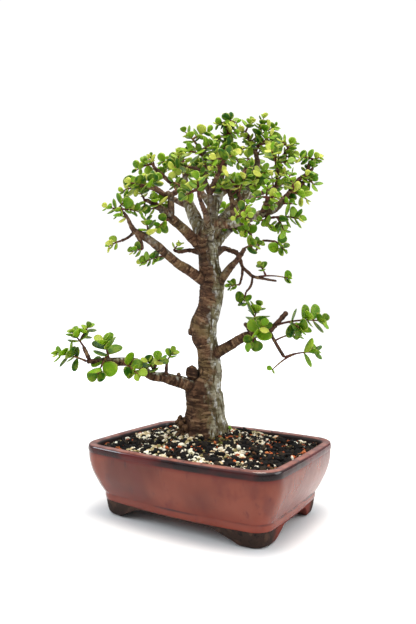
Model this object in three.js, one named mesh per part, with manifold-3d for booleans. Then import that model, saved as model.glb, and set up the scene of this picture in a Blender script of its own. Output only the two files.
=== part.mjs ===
// Dwarf jade bonsai (Portulacaria afra) planted in a glazed rectangular pot.
// Millimetres, +Z up. The pot is laid out round its own middle on the floor, and at the end the
// whole part is moved so that its origin lies under the middle of its bounding box.
import * as THREE from 'three';
import Module from 'manifold-3d';

const wasm = await Module();
wasm.setup();

// Pot: a 10 inch mould, about 254 mm long over the lip.
const potHalfLength = 126;
const potHalfWidth = 91.5;
const longSideBow = 5.5;
const shortSideBow = 1.5;
const wallProfile = [ // [height, inset from the lip's edge, corner radius], outside from the base up
  [17.6, 17.3, 20], [19, 16, 21], [24.6, 15.7, 21], [25.8, 16.7, 21], [34, 11.6, 23],
  [42, 7.9, 25], [50, 4.7, 26], [60, 1.9, 27], [75, 0.4, 27], [81, 0.3, 27], [84, 2.2, 26]];
const hollowProfile = [[84, 9.5, 19], [80.5, 11, 18], [60, 13, 17], [40, 20, 16], [24, 31, 14]];
const footProfile = [[0, 22.8, 16], [3, 20.2, 17], [18.4, 17.6, 19]]; // like wallProfile
const footThickness = 21;
// Half the gap between the feet of a side, as [half gap, height], from the floor up.
const footGapLong = [[78, 0], [74, 4], [66, 8], [57, 12], [50, 16], [47, 18.4]];
const footGapShort = [[42, 0], [38, 4], [33, 8], [29, 12], [26, 16], [25, 18.4]];
const drainRadius = 8;
const drainOffset = 58;
const cornerSteps = 4;
const sideSteps = 2;

// Soil, and the place and turn of the tree in it.
const clearance = 0.3;
const trunkPlace = [-20.9, 24.2];
const treeTurn = THREE.MathUtils.degToRad(32);
const soilEdgeHeight = 77.5;
const soilMoundHeight = 11.5;
const soilMoundSpread = 62;
const soilCell = 18;
const soilReliefHeight = 1.3;

// Wood. Each limb is a list of [across, up, near, radius] points in the tree's own frame: across
// to the right, up from the floor, near towards the tree's front, all from the trunk's foot.
const limbs = {
  trunk: [[0, 42, 0, 21], [0, 68, 0, 26], [0, 89, 0, 28], [-1, 107, 0, 24.5], [-1, 124, 0, 23],
    [-2, 140, 0, 22.5], [2, 154, 0, 17.5], [5, 167, 0, 14.5], [4, 182, 0, 13.5], [2, 196, 0, 13.5],
    [-2, 208, 0, 15], [-3, 220, 0, 16.5], [1, 232, 0, 15], [5, 247, 0, 14], [8, 264, 0, 15],
    [8, 279, 0, 14.5], [5, 295, 0, 13], [4, 309, 0, 12.5], [2, 322, 0, 12], [1, 336, -4, 9.5],
    [5, 353, -9, 8.5], [10, 372, -14, 7.5], [17, 390, -19, 6], [19, 408, -24, 5], [16, 423, -26, 4],
    [11, 438, -28, 3], [10, 448, -28, 2]],
  rearLeftLimb: [[3, 321, -2, 9], [-6, 342, -12, 8.5], [-15, 364, -24, 8], [-22, 383, -36, 6.5],
    [-26, 403, -46, 4.5], [-28, 422, -54, 3.5], [-29, 438, -58, 2.5]],
  centreLimb: [[4, 330, 6, 6], [7, 349, 10, 5.5], [8, 368, 12, 4.5], [5, 387, 12, 3.5],
    [-1, 403, 12, 3.5], [3, 425, 12, 5], [-2, 434, 12, 4.5], [-7, 441, 14, 2], [-11, 446, 16, 2]],
  upperLeftLimb: [[-1, 315, 4, 7.5], [-11, 325, 10, 6.5], [-20, 334, 16, 6], [-30, 343, 22, 5.5],
    [-41, 352, 28, 5.5], [-51, 361, 32, 4.5], [-62, 368, 34, 3], [-71, 373, 36, 2]],
  upperLeftRiser: [[-41, 352, 28, 4], [-41, 376, 32, 3.5], [-35, 383, 32, 3], [-29, 389, 31, 2.5]],
  upperLeftReach: [[-41, 376, 32, 3], [-50, 379, 38, 2.5], [-59, 383, 42, 2], [-68, 386, 44, 2]],
  leftSkyTwig: [[-23, 385, -36, 3], [-34, 397, -26, 2.5], [-51, 410, -8, 2.5], [-65, 421, 2, 2.5]],
  leftHighTwig: [[-1, 413, 12, 2.5], [-19, 423, -6, 2], [-32, 426, -14, 2], [-44, 430, -20, 1.5]],
  longLeftLimb: [[1, 275, 2, 7.5], [-10, 283, 8, 6.5], [-21, 290, 14, 6], [-33, 297, 22, 5.5],
    [-44, 306, 30, 5], [-56, 316, 36, 5], [-66, 324, 40, 4.5], [-75, 329, 42, 4.5],
    [-83, 334, 44, 3.5], [-88, 342, 46, 2.5], [-91, 349, 48, 2], [-96, 356, 50, 1.5]],
  longLeftStub: [[-80, 330, 43, 3], [-76, 321, 44, 2.5], [-74, 312, 46, 2]],
  longLeftTwig: [[-83, 333, 44, 2], [-91, 326, 46, 1.5], [-99, 322, 47, 1.5]],
  arcLimb: [[-2, 318, 12, 6], [-4, 328, 17, 6], [0, 337, 22, 6.5], [7, 343, 27, 7],
    [17, 345, 31, 6.5], [29, 344, 35, 5.5], [42, 346, 38, 5], [56, 350, 42, 4.5], [68, 354, 46, 5],
    [79, 358, 48, 5], [87, 364, 50, 4], [93, 371, 50, 3], [99, 379, 50, 2]],
  arcStub: [[73, 354, 47, 3.5], [73, 346, 48, 3], [72, 338, 48, 2.5]],
  frontArch: [[32, 346, 36, 3], [33, 361, 33, 3], [32, 374, 30, 3], [28, 385, 25, 2.5],
    [20, 391, 14, 2.5], [14, 395, -12, 2.5]],
  innerRiser: [[45, 348, 39, 3], [44, 364, 36, 2.5], [42, 375, 32, 2.5], [38, 385, 27, 2]],
  rearRightLimb: [[5, 334, -6, 7.5], [21, 357, -20, 7], [38, 376, -31, 6.5], [50, 391, -36, 6],
    [58, 406, -38, 5.5], [65, 421, -38, 4.5], [69, 436, -36, 3.5], [66, 451, -34, 3],
    [60, 463, -32, 2.5], [56, 473, -30, 2]],
  rightRiser: [[74, 357, 46, 3], [77, 372, 39, 2.5], [84, 386, 32, 2.5], [87, 399, 28, 2],
    [88, 412, 24, 2], [93, 425, 20, 1.5], [99, 436, 18, 1.2]],
  farRightTwig: [[94, 372, 50, 2.5], [102, 383, 44, 2.5], [112, 396, 36, 2.5], [130, 410, 27, 2]],
  farRightKnot: [[121, 403, 31, 2], [125, 413, 28, 2.2], [128, 421, 28, 2.8]],
  topTwig: [[19, 407, -23, 3.5], [23, 419, -16, 3], [26, 433, -6, 2.5], [26, 447, 0, 2.5],
    [26, 463, 4, 2.5], [28, 474, 6, 3.4], [29, 478, 6, 3]],
  lowForkTwig: [[-9, 314, 4, 4], [-20, 315, 11, 2.5], [-31, 313, 16, 2.5], [-39, 314, 19, 1.5]],
  rightLoop: [[11, 310, 0, 5], [22, 319, -6, 3.5], [32, 316, -2, 3], [39, 312, 6, 3],
    [43, 303, 10, 2.5], [46, 294, 12, 2], [53, 287, 14, 2], [59, 282, 16, 2], [76, 278, 20, 1.5],
    [87, 276, 20, 1.2]],
  rightLoopDrop: [[46, 294, 12, 2], [45, 283, 14, 1.5], [42, 272, 16, 1.5]],
  rightLoopFoot: [[58, 282, 16, 1.5], [56, 271, 14, 1.5], [50, 263, 12, 1.2]],
  cutRightLimb: [[10, 267, 2, 7.5], [21, 281, 8, 5], [30, 293, 12, 4.5], [37, 300, 17, 3.5],
    [43, 308, 21, 3], [48, 316, 24, 2.5]],
  innerRightLimb: [[10, 317, -6, 6.5], [19, 332, -14, 5], [31, 344, -20, 3.5], [45, 351, -24, 2.5],
    [59, 353, -26, 2]],
  hangingTwig: [[47, 351, -24, 2], [49, 344, -24, 2], [58, 341, -22, 2], [59, 327, -20, 2],
    [60, 318, -17, 1.5], [65, 318, -14, 1.5], [72, 329, -10, 1.5], [89, 328, -6, 1.5]],
  lowRightLimb: [[3, 180, 0, 8], [16, 189, 7, 6.5], [30, 197, 12, 6], [42, 205, 16, 5.5],
    [53, 210, 20, 5], [65, 212, 24, 4], [75, 214, 28, 3.5], [84, 223, 32, 3], [97, 238, 38, 3]],
  lowRightStub: [[55, 212, 20, 2.5], [52, 219, 16, 2.5], [48, 225, 14, 2.5]],
  lowRightDrop: [[77, 214, 28, 2.5], [82, 205, 30, 2], [88, 194, 32, 2], [94, 184, 34, 2]],
  lowLeftLimb: [[1, 138, 0, 14], [-14, 146, 6, 10.5], [-27, 151, 10, 8], [-41, 155, 14, 7],
    [-53, 159, 18, 6], [-63, 160, 20, 5.5], [-72, 165, 22, 5], [-79, 175, 24, 5],
    [-89, 178, 26, 5.5], [-101, 179, 28, 5], [-112, 179, 30, 5], [-123, 180, 32, 4],
    [-142, 180, 36, 2.5]],
  lowLeftRiser: [[-138, 180, 35, 2.5], [-142, 190, 37, 2.5], [-145, 198, 39, 2]],
  lowLeftPost: [[-49, 160, 18, 2.5], [-48, 171, 21, 2], [-47, 179, 22, 1.5]],
  lowLeftStub: [[-35, 154, 12, 4], [-33, 164, 13, 2]],
  frontLimb: [[5, 338, 22, 4.5], [1, 352, 46, 3.5], [-4, 362, 66, 2.5], [-7, 369, 80, 2]],
  frontRightTwig: [[42, 346, 40, 3.5], [45, 350, 58, 2.5], [43, 352, 72, 2]],
  frontHighTwig: [[6, 386, 12, 3], [11, 394, 34, 3], [17, 402, 52, 2], [19, 410, 62, 1.5]],
  rightFrontTwig: [[67, 355, 46, 3], [69, 361, 60, 2.5], [70, 365, 72, 1.5]],
  backLeftTwig: [[10, 371, -16, 4.5], [0, 392, -45, 4], [-9, 411, -70, 3], [-12, 429, -88, 2]],
  backRightTwig: [[17, 389, -20, 4], [35, 409, -50, 3.5], [51, 430, -74, 3], [61, 450, -90, 2]],
  backFarLeftTwig: [[-20, 377, -32, 4], [-40, 391, -55, 3.5], [-59, 405, -74, 3],
    [-74, 420, -88, 2]],
  backFarRightTwig: [[50, 390, -36, 4], [72, 400, -58, 3.5], [95, 412, -76, 2.5],
    [113, 424, -88, 2]],
  backLowTwig: [[4, 329, -6, 5], [16, 342, -38, 4], [29, 355, -64, 3.5], [38, 369, -84, 2.5]],
  // Sawn stubs and old knobs.
  leftKnob: [[-4, 163, 4, 7], [-12, 163, 8, 8.6], [-18, 163, 11, 8], [-20, 163, 12, 5.5]],
  leftSpur: [[-8, 213, 0, 6], [-16, 213.5, 2, 5], [-22, 214, 3, 3.5]],
  sawnStub: [[46, 386, -35, 6], [50, 392, -28, 7.5], [52, 400, -23, 7]],
  arcKnob: [[8, 340, 12, 6], [18, 342, 20, 7.5], [20, 341, 27, 6.5]],
  riserKnob: [[-41, 377, 32, 4], [-45, 380, 35, 4.2], [-47, 382, 36, 3]],
};
const rootCount = 6;
const rootPoints = [[11, 114, 12], [21, 98, 10], [34, 76, 6]]; // [out, up, radius]

// Leafy shoots: the limb each grows from, how far along it, the leaf length, and each stem's tip.
const shoots = {
  farLeftTip: ['lowLeftLimb', 1, 11, [-177, 189, 40]],
  lowLeftRise: ['lowLeftRiser', 1, 10.5, [-158, 215, 42], [-140, 221, 36]],
  lowLeftTuft: ['lowLeftLimb', 0.86, 12.5, [-121, 205, 40], [-127, 165, 44]],
  lowLeftHang: ['lowLeftLimb', 0.77, 14, [-79, 165, 46]],
  lowLeftMid: ['lowLeftLimb', 0.4, 12, [-69, 180, 34], [-54, 183, 38]],
  lowLeftPostTop: ['lowLeftPost', 1, 9.5, [-39, 190, 24]],
  lowRightReach: ['lowRightLimb', 0.86, 12, [139, 227, 42], [115, 215, 46]],
  lowRightTuft: ['lowRightLimb', 0.5, 11.5, [66, 246, 10]],
  lowRightFront: ['lowRightLimb', 0.6, 14, [69, 221, 44], [54, 199, 40]],
  lowRightDropTip: ['lowRightDrop', 1, 11, [130, 190, 40], [79, 169, 36]],
  lowRightDropMid: ['lowRightDrop', 0.38, 10, [115, 212, 20]],
  loopFootTip: ['rightLoopFoot', 1, 10, [47, 248, 12]],
  loopDropTip: ['rightLoopDrop', 1, 9, [29, 269, 18]],
  loopTip: ['rightLoop', 0.8, 10, [101, 279, 24], [66, 295, 27]],
  hangingTip: ['hangingTwig', 1, 10, [100, 315, 0]],
  cutLimbTip: ['cutRightLimb', 1, 10, [65, 320, 31]],
  innerRightTip: ['innerRightLimb', 1, 10.5, [50, 339, -8]],
  arcStubTip: ['arcStub', 0.4, 12, [110, 346, 54], [92, 333, 50]],
  arcTip: ['arcLimb', 1, 12, [120, 370, 46], [99, 391, 58]],
  farRightTip: ['farRightTwig', 0.8, 14, [130, 389, 38], [111, 382, 44]],
  farRightTop: ['farRightKnot', 1, 10, [139, 424, 30], [112, 422, 36]],
  rightRiserTip: ['rightRiser', 1, 11, [111, 446, 16], [92, 444, 30]],
  rightRiserMid: ['rightRiser', 0.67, 12.5, [78, 429, 46], [99, 415, 40]],
  topRightTip: ['rearRightLimb', 1, 10.5, [46, 480, -32], [61, 489, -24]],
  topRightReach: ['rearRightLimb', 0.89, 10.5, [92, 479, -20], [77, 494, -28]],
  topRightFill: ['rearRightLimb', 0.78, 12, [84, 462, -4], [100, 467, -50], [47, 447, -12]],
  topTip: ['topTwig', 1, 10, [40, 473, 10], [16, 475, 0]],
  topMid: ['topTwig', 0.66, 10.5, [40, 459, 14], [14, 450, 12]],
  topFill: ['topTwig', 0.45, 12.5, [36, 438, 20], [11, 434, 24], [42, 423, 10]],
  leaderTip: ['trunk', 1, 11, [10, 464, -20], [0, 456, -34]],
  centreTip: ['centreLimb', 1, 11, [-25, 459, 22], [4, 462, 12]],
  centreMid: ['centreLimb', 0.7, 13, [-21, 432, 32], [7, 441, 28]],
  leftHighTips: ['leftHighTwig', 0.75, 11.5, [-33, 441, 0], [-38, 410, 20], [-58, 432, -18]],
  leftSkyTip: ['leftSkyTwig', 1, 11, [-71, 431, 6], [-88, 419, -6]],
  leftReachTip: ['upperLeftReach', 0.67, 12, [-88, 389, 52], [-98, 383, 38], [-57, 398, 26]],
  leftForkTip: ['upperLeftLimb', 1, 11.5, [-73, 361, 42], [-77, 381, 34]],
  leftForkMid: ['upperLeftLimb', 0.75, 11.5, [-61, 372, 46], [-50, 370, 20]],
  leftRiserTip: ['upperLeftRiser', 1, 13, [-20, 374, 48], [-39, 397, 22]],
  longLeftTip: ['longLeftLimb', 1, 10.5, [-115, 360, 54], [-92, 372, 44], [-77, 356, 46]],
  longLeftFill: ['longLeftLimb', 0.55, 12, [-69, 346, 48]],
  leftCrotch: ['upperLeftLimb', 0.57, 13, [-55, 338, 46]],
  longLeftLow: ['longLeftTwig', 1, 9.5, [-114, 315, 47]],
  longLeftDrop: ['longLeftStub', 1, 9, [-86, 309, 48]],
  longLeftUnder: ['longLeftLimb', 0.37, 10, [-77, 296, 36]],
  lowForkTip: ['lowForkTwig', 1, 8.5, [-31, 322, 24]],
  frontTip: ['frontLimb', 1, 15, [-8, 383, 92], [-22, 366, 84]],
  frontRightTip: ['frontRightTwig', 1, 15, [47, 347, 84], [34, 341, 82]],
  frontHighTip: ['frontHighTwig', 1, 13.5, [33, 417, 66], [12, 411, 70]],
  innerTip: ['innerRiser', 1, 13, [38, 391, 38], [51, 400, 40], [27, 398, 44]],
  rightFrontTip: ['rightFrontTwig', 1, 13.5, [79, 367, 78], [56, 366, 76]],
  rightInnerFill: ['rearRightLimb', 0.52, 13, [64, 398, -10], [78, 414, 2]],
  backLeftTip: ['backLeftTwig', 1, 12, [-14, 452, -102], [8, 444, -104]],
  backRightTip: ['backRightTwig', 1, 12, [60, 470, -98], [83, 449, -102]],
  backFarLeftTip: ['backFarLeftTwig', 1, 12, [-86, 431, -96], [-63, 441, -94]],
  backFarRightTip: ['backFarRightTwig', 1, 12, [125, 438, -94], [103, 445, -100]],
  backLowTip: ['backLowTwig', 1, 12, [45, 385, -98], [23, 391, -100]],
  rearLeftTip: ['rearLeftLimb', 1, 12, [-31, 455, -64], [-49, 452, -72]],
};
const stemRadius = 1.15; // of the stem of a shoot with leaves standardLeaf long
const standardLeaf = 11.5;
const stemTaper = 0.5;
const nodeHalf = 0.9; // half the height of the stem that a pair of leaves grows from
const pairSpacing = 0.66; // of the leaf length
const pairsOnMainStem = 3;
const pairsOnSideStem = 2;
const leafWidth = 0.82; // of the leaf length
const leafThickness = 1.9;
const leafLift = 0.55; // angle above the square to the stem, in radians
const leafOutline = [[0.46, 0.95], [0.94, 0.58], [0.94, -0.58], [0.46, -0.95]]; // of length, half width
const leafCup = 0.5; // how far the rim stands above the middle
const leafKeel = 0.55; // of the length, where the blade is thickest
const leafTries = 6;

// Colour, roughness and metalness of each material.
const finishes = {
  glaze: { color: 0x8a5046, roughness: 0.25, metalness: 0 },
  grit: { color: 0x5b4a3a, roughness: 0.95, metalness: 0 },
  bark: { color: 0x76604f, roughness: 0.9, metalness: 0 },
  leaf: { color: 0x6c9a35, roughness: 0.45, metalness: 0 },
};

// Solids from rings of points, in the order of the loft, with both ends closed by fans.
function loft(rings) {
  const count = rings[0].length;
  const points = rings.flat();
  const triangles = [];
  for (let row = 0; row + 1 < rings.length; row++) {
    for (let i = 0; i < count; i++) {
      const a = row * count + i;
      const b = row * count + (i + 1) % count;
      triangles.push([a, b, b + count], [a, b + count, a + count]);
    }
  }
  const last = (rings.length - 1) * count;
  points.push(middle(rings[0]), middle(rings[rings.length - 1]));
  for (let i = 0; i < count; i++) {
    const j = (i + 1) % count;
    triangles.push([j, i, points.length - 2], [last + i, last + j, points.length - 1]);
  }
  return solid(points, triangles);
}

function middle(points) {
  const sum = points.reduce((total, point) => total.map((value, axis) => value + point[axis]));
  return sum.map((value) => value / points.length);
}

function solid(points, triangles) {
  const mesh = new wasm.Mesh({
    numProp: 3,
    vertProperties: Float32Array.from(points.flat()),
    triVerts: Uint32Array.from(triangles.flat()),
  });
  return new wasm.Manifold(mesh);
}

// The largest single body of a solid that a cut may have parted.
function largestBody(whole) {
  const bodies = whole.decompose();
  return bodies.reduce((best, body) => (body.volume() > best.volume() ? body : best));
}

function toMesh(name, whole, finish) {
  const { vertProperties, triVerts } = whole.getMesh();
  const geometry = new THREE.BufferGeometry();
  geometry.setAttribute('position', new THREE.BufferAttribute(vertProperties, 3));
  geometry.setIndex(new THREE.BufferAttribute(triVerts, 1));
  geometry.computeVertexNormals();
  const mesh = new THREE.Mesh(geometry, new THREE.MeshStandardMaterial(finishes[finish]));
  mesh.name = name;
  return mesh;
}

// Random numbers from 0 to 1, the same in each run.
function randomSource(seed) {
  let state = seed;
  return () => {
    state = (state * 16807) % 2147483647;
    return state / 2147483647;
  };
}

// ---- Pot ----

// A rounded rectangle with bowed sides at one height, counterclockwise.
function potRing(height, inset, cornerRadius) {
  const halves = [potHalfWidth - inset, potHalfLength - inset];
  const bows = [longSideBow, shortSideBow];
  const ring = [];
  for (let corner = 0; corner < 4; corner++) {
    const turn = corner * Math.PI / 2;
    const [across, along] = corner % 2 === 0 ? [halves[1], halves[0]] : [halves[0], halves[1]];
    for (let i = 0; i <= cornerSteps; i++) {
      const angle = i / cornerSteps * Math.PI / 2;
      const x = across - cornerRadius + cornerRadius * Math.cos(angle);
      const y = along - cornerRadius + cornerRadius * Math.sin(angle);
      ring.push(turned(x, y, turn, height));
    }
    const reach = across - cornerRadius;
    for (let i = 1; i <= sideSteps; i++) {
      const place = 1 - 2 * i / (sideSteps + 1);
      const out = bows[corner % 2] * (1 - place * place);
      ring.push(turned(place * reach, along + out, turn, height));
    }
  }
  return ring;
}

function turned(x, y, angle, z) {
  const c = Math.cos(angle);
  const s = Math.sin(angle);
  return [c * x - s * y, s * x + c * y, z];
}

// A bar with a curved section, wide at the floor, that parts the feet of two opposite sides.
function footGapBar(profile, length, alongX) {
  const [floorHalf] = profile[0];
  const [topHalf, top] = profile[profile.length - 1];
  const oneSide = [[floorHalf, -1], ...profile, [topHalf, top + 1]];
  const otherSide = oneSide.map(([half, height]) => [-half, height]).reverse();
  const section = new THREE.Shape(
    [...oneSide, ...otherSide].map(([x, y]) => new THREE.Vector2(x, y)));
  const bar = new THREE.ExtrudeGeometry(section, { depth: length, bevelEnabled: false });
  bar.translate(0, 0, -length / 2);
  bar.rotateX(Math.PI / 2);
  if (alongX) {
    bar.rotateZ(Math.PI / 2);
  }
  return fromGeometry(bar);
}

// A closed three.js geometry as a solid, its shared corners found by their places.
function fromGeometry(geometry) {
  const flat = geometry.index ? geometry.toNonIndexed() : geometry;
  const place = flat.getAttribute('position');
  const found = new Map();
  const points = [];
  const corners = [];
  for (let i = 0; i < place.count; i++) {
    const point = [place.getX(i), place.getY(i), place.getZ(i)];
    const key = point.map((value) => value.toFixed(4)).join();
    if (!found.has(key)) {
      found.set(key, points.length);
      points.push(point);
    }
    corners.push(found.get(key));
  }
  return solid(points, corners);
}

function makePot() {
  const outside = wallProfile.map((row) => potRing(...row));
  const inside = hollowProfile.map((row) => potRing(...row));
  const bowl = loft([...outside, ...inside]);
  const block = loft(footProfile.map((row) => potRing(...row)));
  const [topHeight, topInset] = footProfile[footProfile.length - 1];
  const inner = loft([
    potRing(-1, topInset + footThickness, 8), potRing(topHeight + 1, topInset + footThickness, 8)]);
  const feet = block
    .subtract(inner)
    .subtract(footGapBar(footGapLong, 2 * potHalfWidth, false))
    .subtract(footGapBar(footGapShort, 2 * potHalfLength, true));
  let pot = bowl.add(feet);
  for (const side of [-1, 1]) {
    const drain = new THREE.CylinderGeometry(drainRadius, drainRadius, 40, 16);
    drain.rotateX(Math.PI / 2);
    drain.translate(side * drainOffset, 0, 20);
    pot = pot.subtract(fromGeometry(drain));
  }
  return pot;
}

// ---- Soil ----

function soilHeight(x, y, draw) {
  const away = Math.hypot(x - trunkPlace[0], y - trunkPlace[1]);
  const mound = soilMoundHeight * Math.exp(-((away / soilMoundSpread) ** 2));
  return soilEdgeHeight + mound + soilReliefHeight * (2 * draw() - 1);
}

function makeSoil(hole) {
  const filled = hollowProfile.map(([height, inset, cornerRadius]) => (
    potRing(height, inset + clearance, cornerRadius)));
  const floor = hollowProfile[hollowProfile.length - 1];
  const lid = potRing(soilEdgeHeight + 2 * soilMoundHeight, hollowProfile[0][1] + clearance,
    hollowProfile[0][2]);
  const bottom = potRing(floor[0] + clearance, floor[1] + clearance, floor[2]);
  const body = loft([bottom, ...filled.slice(0, -1).reverse(), lid]);
  return largestBody(body.intersect(moundedBlock()).subtract(hole));
}

// A block with a rough, mounded top, wider than the pot's hollow.
function moundedBlock() {
  const draw = randomSource(41);
  const columns = Math.ceil(2 * potHalfLength / soilCell);
  const rows = Math.ceil(2 * potHalfWidth / soilCell);
  const points = [];
  for (const top of [false, true]) {
    for (let j = 0; j <= rows; j++) {
      for (let i = 0; i <= columns; i++) {
        const x = (i / columns * 2 - 1) * potHalfLength;
        const y = (j / rows * 2 - 1) * potHalfWidth;
        points.push([x, y, top ? soilHeight(x, y, draw) : 0]);
      }
    }
  }
  const layer = (columns + 1) * (rows + 1);
  const at = (i, j, level) => level * layer + j * (columns + 1) + i;
  const triangles = [];
  const quad = (a, b, c, d) => triangles.push([a, b, c], [a, c, d]);
  for (let j = 0; j < rows; j++) {
    for (let i = 0; i < columns; i++) {
      quad(at(i, j, 1), at(i + 1, j, 1), at(i + 1, j + 1, 1), at(i, j + 1, 1));
      quad(at(i, j, 0), at(i, j + 1, 0), at(i + 1, j + 1, 0), at(i + 1, j, 0));
    }
  }
  for (let i = 0; i < columns; i++) {
    quad(at(i, 0, 0), at(i + 1, 0, 0), at(i + 1, 0, 1), at(i, 0, 1));
    quad(at(i + 1, rows, 0), at(i, rows, 0), at(i, rows, 1), at(i + 1, rows, 1));
  }
  for (let j = 0; j < rows; j++) {
    quad(at(0, j + 1, 0), at(0, j, 0), at(0, j, 1), at(0, j + 1, 1));
    quad(at(columns, j, 0), at(columns, j + 1, 0), at(columns, j + 1, 1), at(columns, j, 1));
  }
  return solid(points, triangles);
}

// ---- Wood ----

// A point of the tree's own frame, in the pot's frame.
function placed([across, up, near]) {
  return new THREE.Vector3(
    trunkPlace[0] + across * Math.cos(treeTurn) + near * Math.sin(treeTurn),
    trunkPlace[1] + across * Math.sin(treeTurn) - near * Math.cos(treeTurn),
    up);
}

function sidesFor(radius) {
  if (radius > 12) {
    return 11;
  }
  if (radius > 5.6) {
    return 6;
  }
  return radius > 3 ? 5 : 4;
}

// A round tube through points, with a radius at each, its ring turned as little as it can be.
function tube(points, radii, sides) {
  const rings = [];
  let side = null;
  points.forEach((point, i) => {
    const before = points[Math.max(i - 1, 0)];
    const after = points[Math.min(i + 1, points.length - 1)];
    const along = after.clone().sub(before).normalize();
    side = side ?? new THREE.Vector3(1, 0.01, 0).cross(along);
    side.addScaledVector(along, -side.dot(along)).normalize();
    const other = along.clone().cross(side);
    const ring = [];
    for (let k = 0; k < sides; k++) {
      const angle = 2 * Math.PI * k / sides;
      const place = point.clone()
        .addScaledVector(side, radii[i] * Math.cos(angle))
        .addScaledVector(other, radii[i] * Math.sin(angle));
      ring.push(place.toArray());
    }
    rings.push(ring);
  });
  return loft(rings);
}

function limbTube(points, grown) {
  const radii = points.map((point) => point[3] + grown);
  return tube(points.map(placed), radii, sidesFor(points[1][3]));
}

function rootLimbs() {
  const draw = randomSource(17);
  const roots = [];
  for (let i = 0; i < rootCount; i++) {
    const angle = 2 * Math.PI * (i + 0.5 * draw()) / rootCount;
    const size = 0.8 + 0.4 * draw();
    roots.push(rootPoints.map(([out, up, radius]) => (
      [size * out * Math.cos(angle), up, size * out * Math.sin(angle), size * radius])));
  }
  return roots;
}

function makeWood(grown) {
  const tubes = [...Object.values(limbs), ...rootLimbs()].map((points) => limbTube(points, grown));
  return wasm.Manifold.union(tubes);
}

// ---- Leafy shoots ----

// The point at a share of a limb's length, counted by its points.
function pointAlong(points, share) {
  const place = share * (points.length - 1);
  const first = Math.min(Math.floor(place), points.length - 2);
  return placed(points[first]).lerp(placed(points[first + 1]), place - first);
}

// A stem that rises a little on its way from its root to its tip.
function stemCurve(start, end) {
  const bend = start.clone().lerp(end, 0.5);
  bend.z += 0.12 * start.distanceTo(end);
  return new THREE.QuadraticBezierCurve3(start, bend, end);
}

function stemsOf([limb, share, leafLength, ...tips]) {
  const main = stemCurve(pointAlong(limbs[limb], share), placed(tips[0]));
  const sides = tips.slice(1).map((tip) => stemCurve(main.getPoint(0.3), placed(tip)));
  return [main, ...sides].map((curve, i) => ({
    curve,
    length: curve.v0.distanceTo(curve.v2),
    radius: stemRadius * leafLength / standardLeaf,
    pairs: i === 0 ? pairsOnMainStem : pairsOnSideStem,
  }));
}

// The way out from a stem at a share of its length and an angle round it.
function wayOut(stem, share, angle) {
  const along = stem.curve.getTangent(share);
  const side = new THREE.Vector3(0.3, 0.2, 1).cross(stem.curve.v2.clone().sub(stem.curve.v0));
  side.addScaledVector(along, -side.dot(along)).normalize();
  const other = along.clone().cross(side);
  return side.multiplyScalar(Math.cos(angle)).addScaledVector(other, Math.sin(angle));
}

// One leaf: its root, the way it points, the way its face looks, its length and half width, and
// the quarter turns by which its face is rolled from the way of its stem.
function leafAt(stem, share, angle, lift, length) {
  const root = stem.curve.getPoint(share);
  const along = stem.curve.getTangent(share);
  const out = wayOut(stem, share, angle);
  const way = out.clone().multiplyScalar(Math.cos(lift))
    .addScaledVector(along, Math.sin(lift))
    .add(new THREE.Vector3(0, 0, 0.15))
    .normalize();
  const face = along.clone().multiplyScalar(Math.cos(lift))
    .addScaledVector(out, -Math.sin(lift))
    .add(new THREE.Vector3(0, 0, 0.5));
  face.addScaledVector(way, -face.dot(way)).normalize();
  const roll = Math.atan2(face.dot(along.clone().cross(out)), face.dot(along));
  return {
    root,
    way,
    face,
    across: face.clone().cross(way),
    length,
    half: length * leafWidth / 2,
    turns: Math.round(roll / (Math.PI / 2)),
  };
}

function onLeaf(leaf, [along, across], height = 0) {
  return leaf.root.clone()
    .addScaledVector(leaf.way, along * leaf.length)
    .addScaledVector(leaf.across, across * leaf.half)
    .addScaledVector(leaf.face, height);
}

const probePlaces = [[1, 0], [0.95, 0.6], [0.95, -0.6], [0.7, 0.85], [0.7, -0.85], [0.46, 0.95],
  [0.46, -0.95], [0.25, 0.5], [0.25, -0.5], [0.6, 0]];
const bladeReach = 1.9;

// Whether a point lies in or very near a leaf's blade.
function nearBlade(leaf, point) {
  const offset = point.clone().sub(leaf.root);
  const along = offset.dot(leaf.way) / leaf.length;
  const across = offset.dot(leaf.across) / leaf.half;
  return Math.abs(offset.dot(leaf.face)) < bladeReach
    && ((along - 0.55) / 0.62) ** 2 + (across / 1.25) ** 2 < 1;
}

function bladesMeet(one, other) {
  return one.root.distanceTo(other.root) < one.length + other.length + bladeReach
    && (one.probes.some((point) => nearBlade(other, point))
      || other.probes.some((point) => nearBlade(one, point)));
}

// Balls along the wood and the stems, which leaves keep clear of.
function woodBalls() {
  return [...Object.values(limbs), ...rootLimbs()].flatMap((points) => (
    points.slice(1).flatMap((point, i) => [0, 0.25, 0.5, 0.75].map((share) => ({
      place: placed(points[i]).lerp(placed(point), share),
      reach: points[i][3] + (point[3] - points[i][3]) * share + 1.3,
      leeway: 0,
    })))));
}

function stemBalls(stem) {
  return [0.1, 0.2, 0.3, 0.4, 0.5, 0.6, 0.7, 0.8, 0.9, 1].map((share) => (
    { place: stem.curve.getPoint(share), reach: stem.radius + 1, leeway: 3.5 }));
}

// A ball within its leeway of the leaf's root is the stem that the leaf grows from.
function leafIsFree(leaf, balls, placedLeaves) {
  const clearOfBalls = balls.every(({ place, reach, leeway }) => (
    place.distanceTo(leaf.root) < leeway
    || leaf.probes.every((point) => point.distanceTo(place) > reach)));
  return clearOfBalls && placedLeaves.every((other) => !bladesMeet(leaf, other));
}

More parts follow.
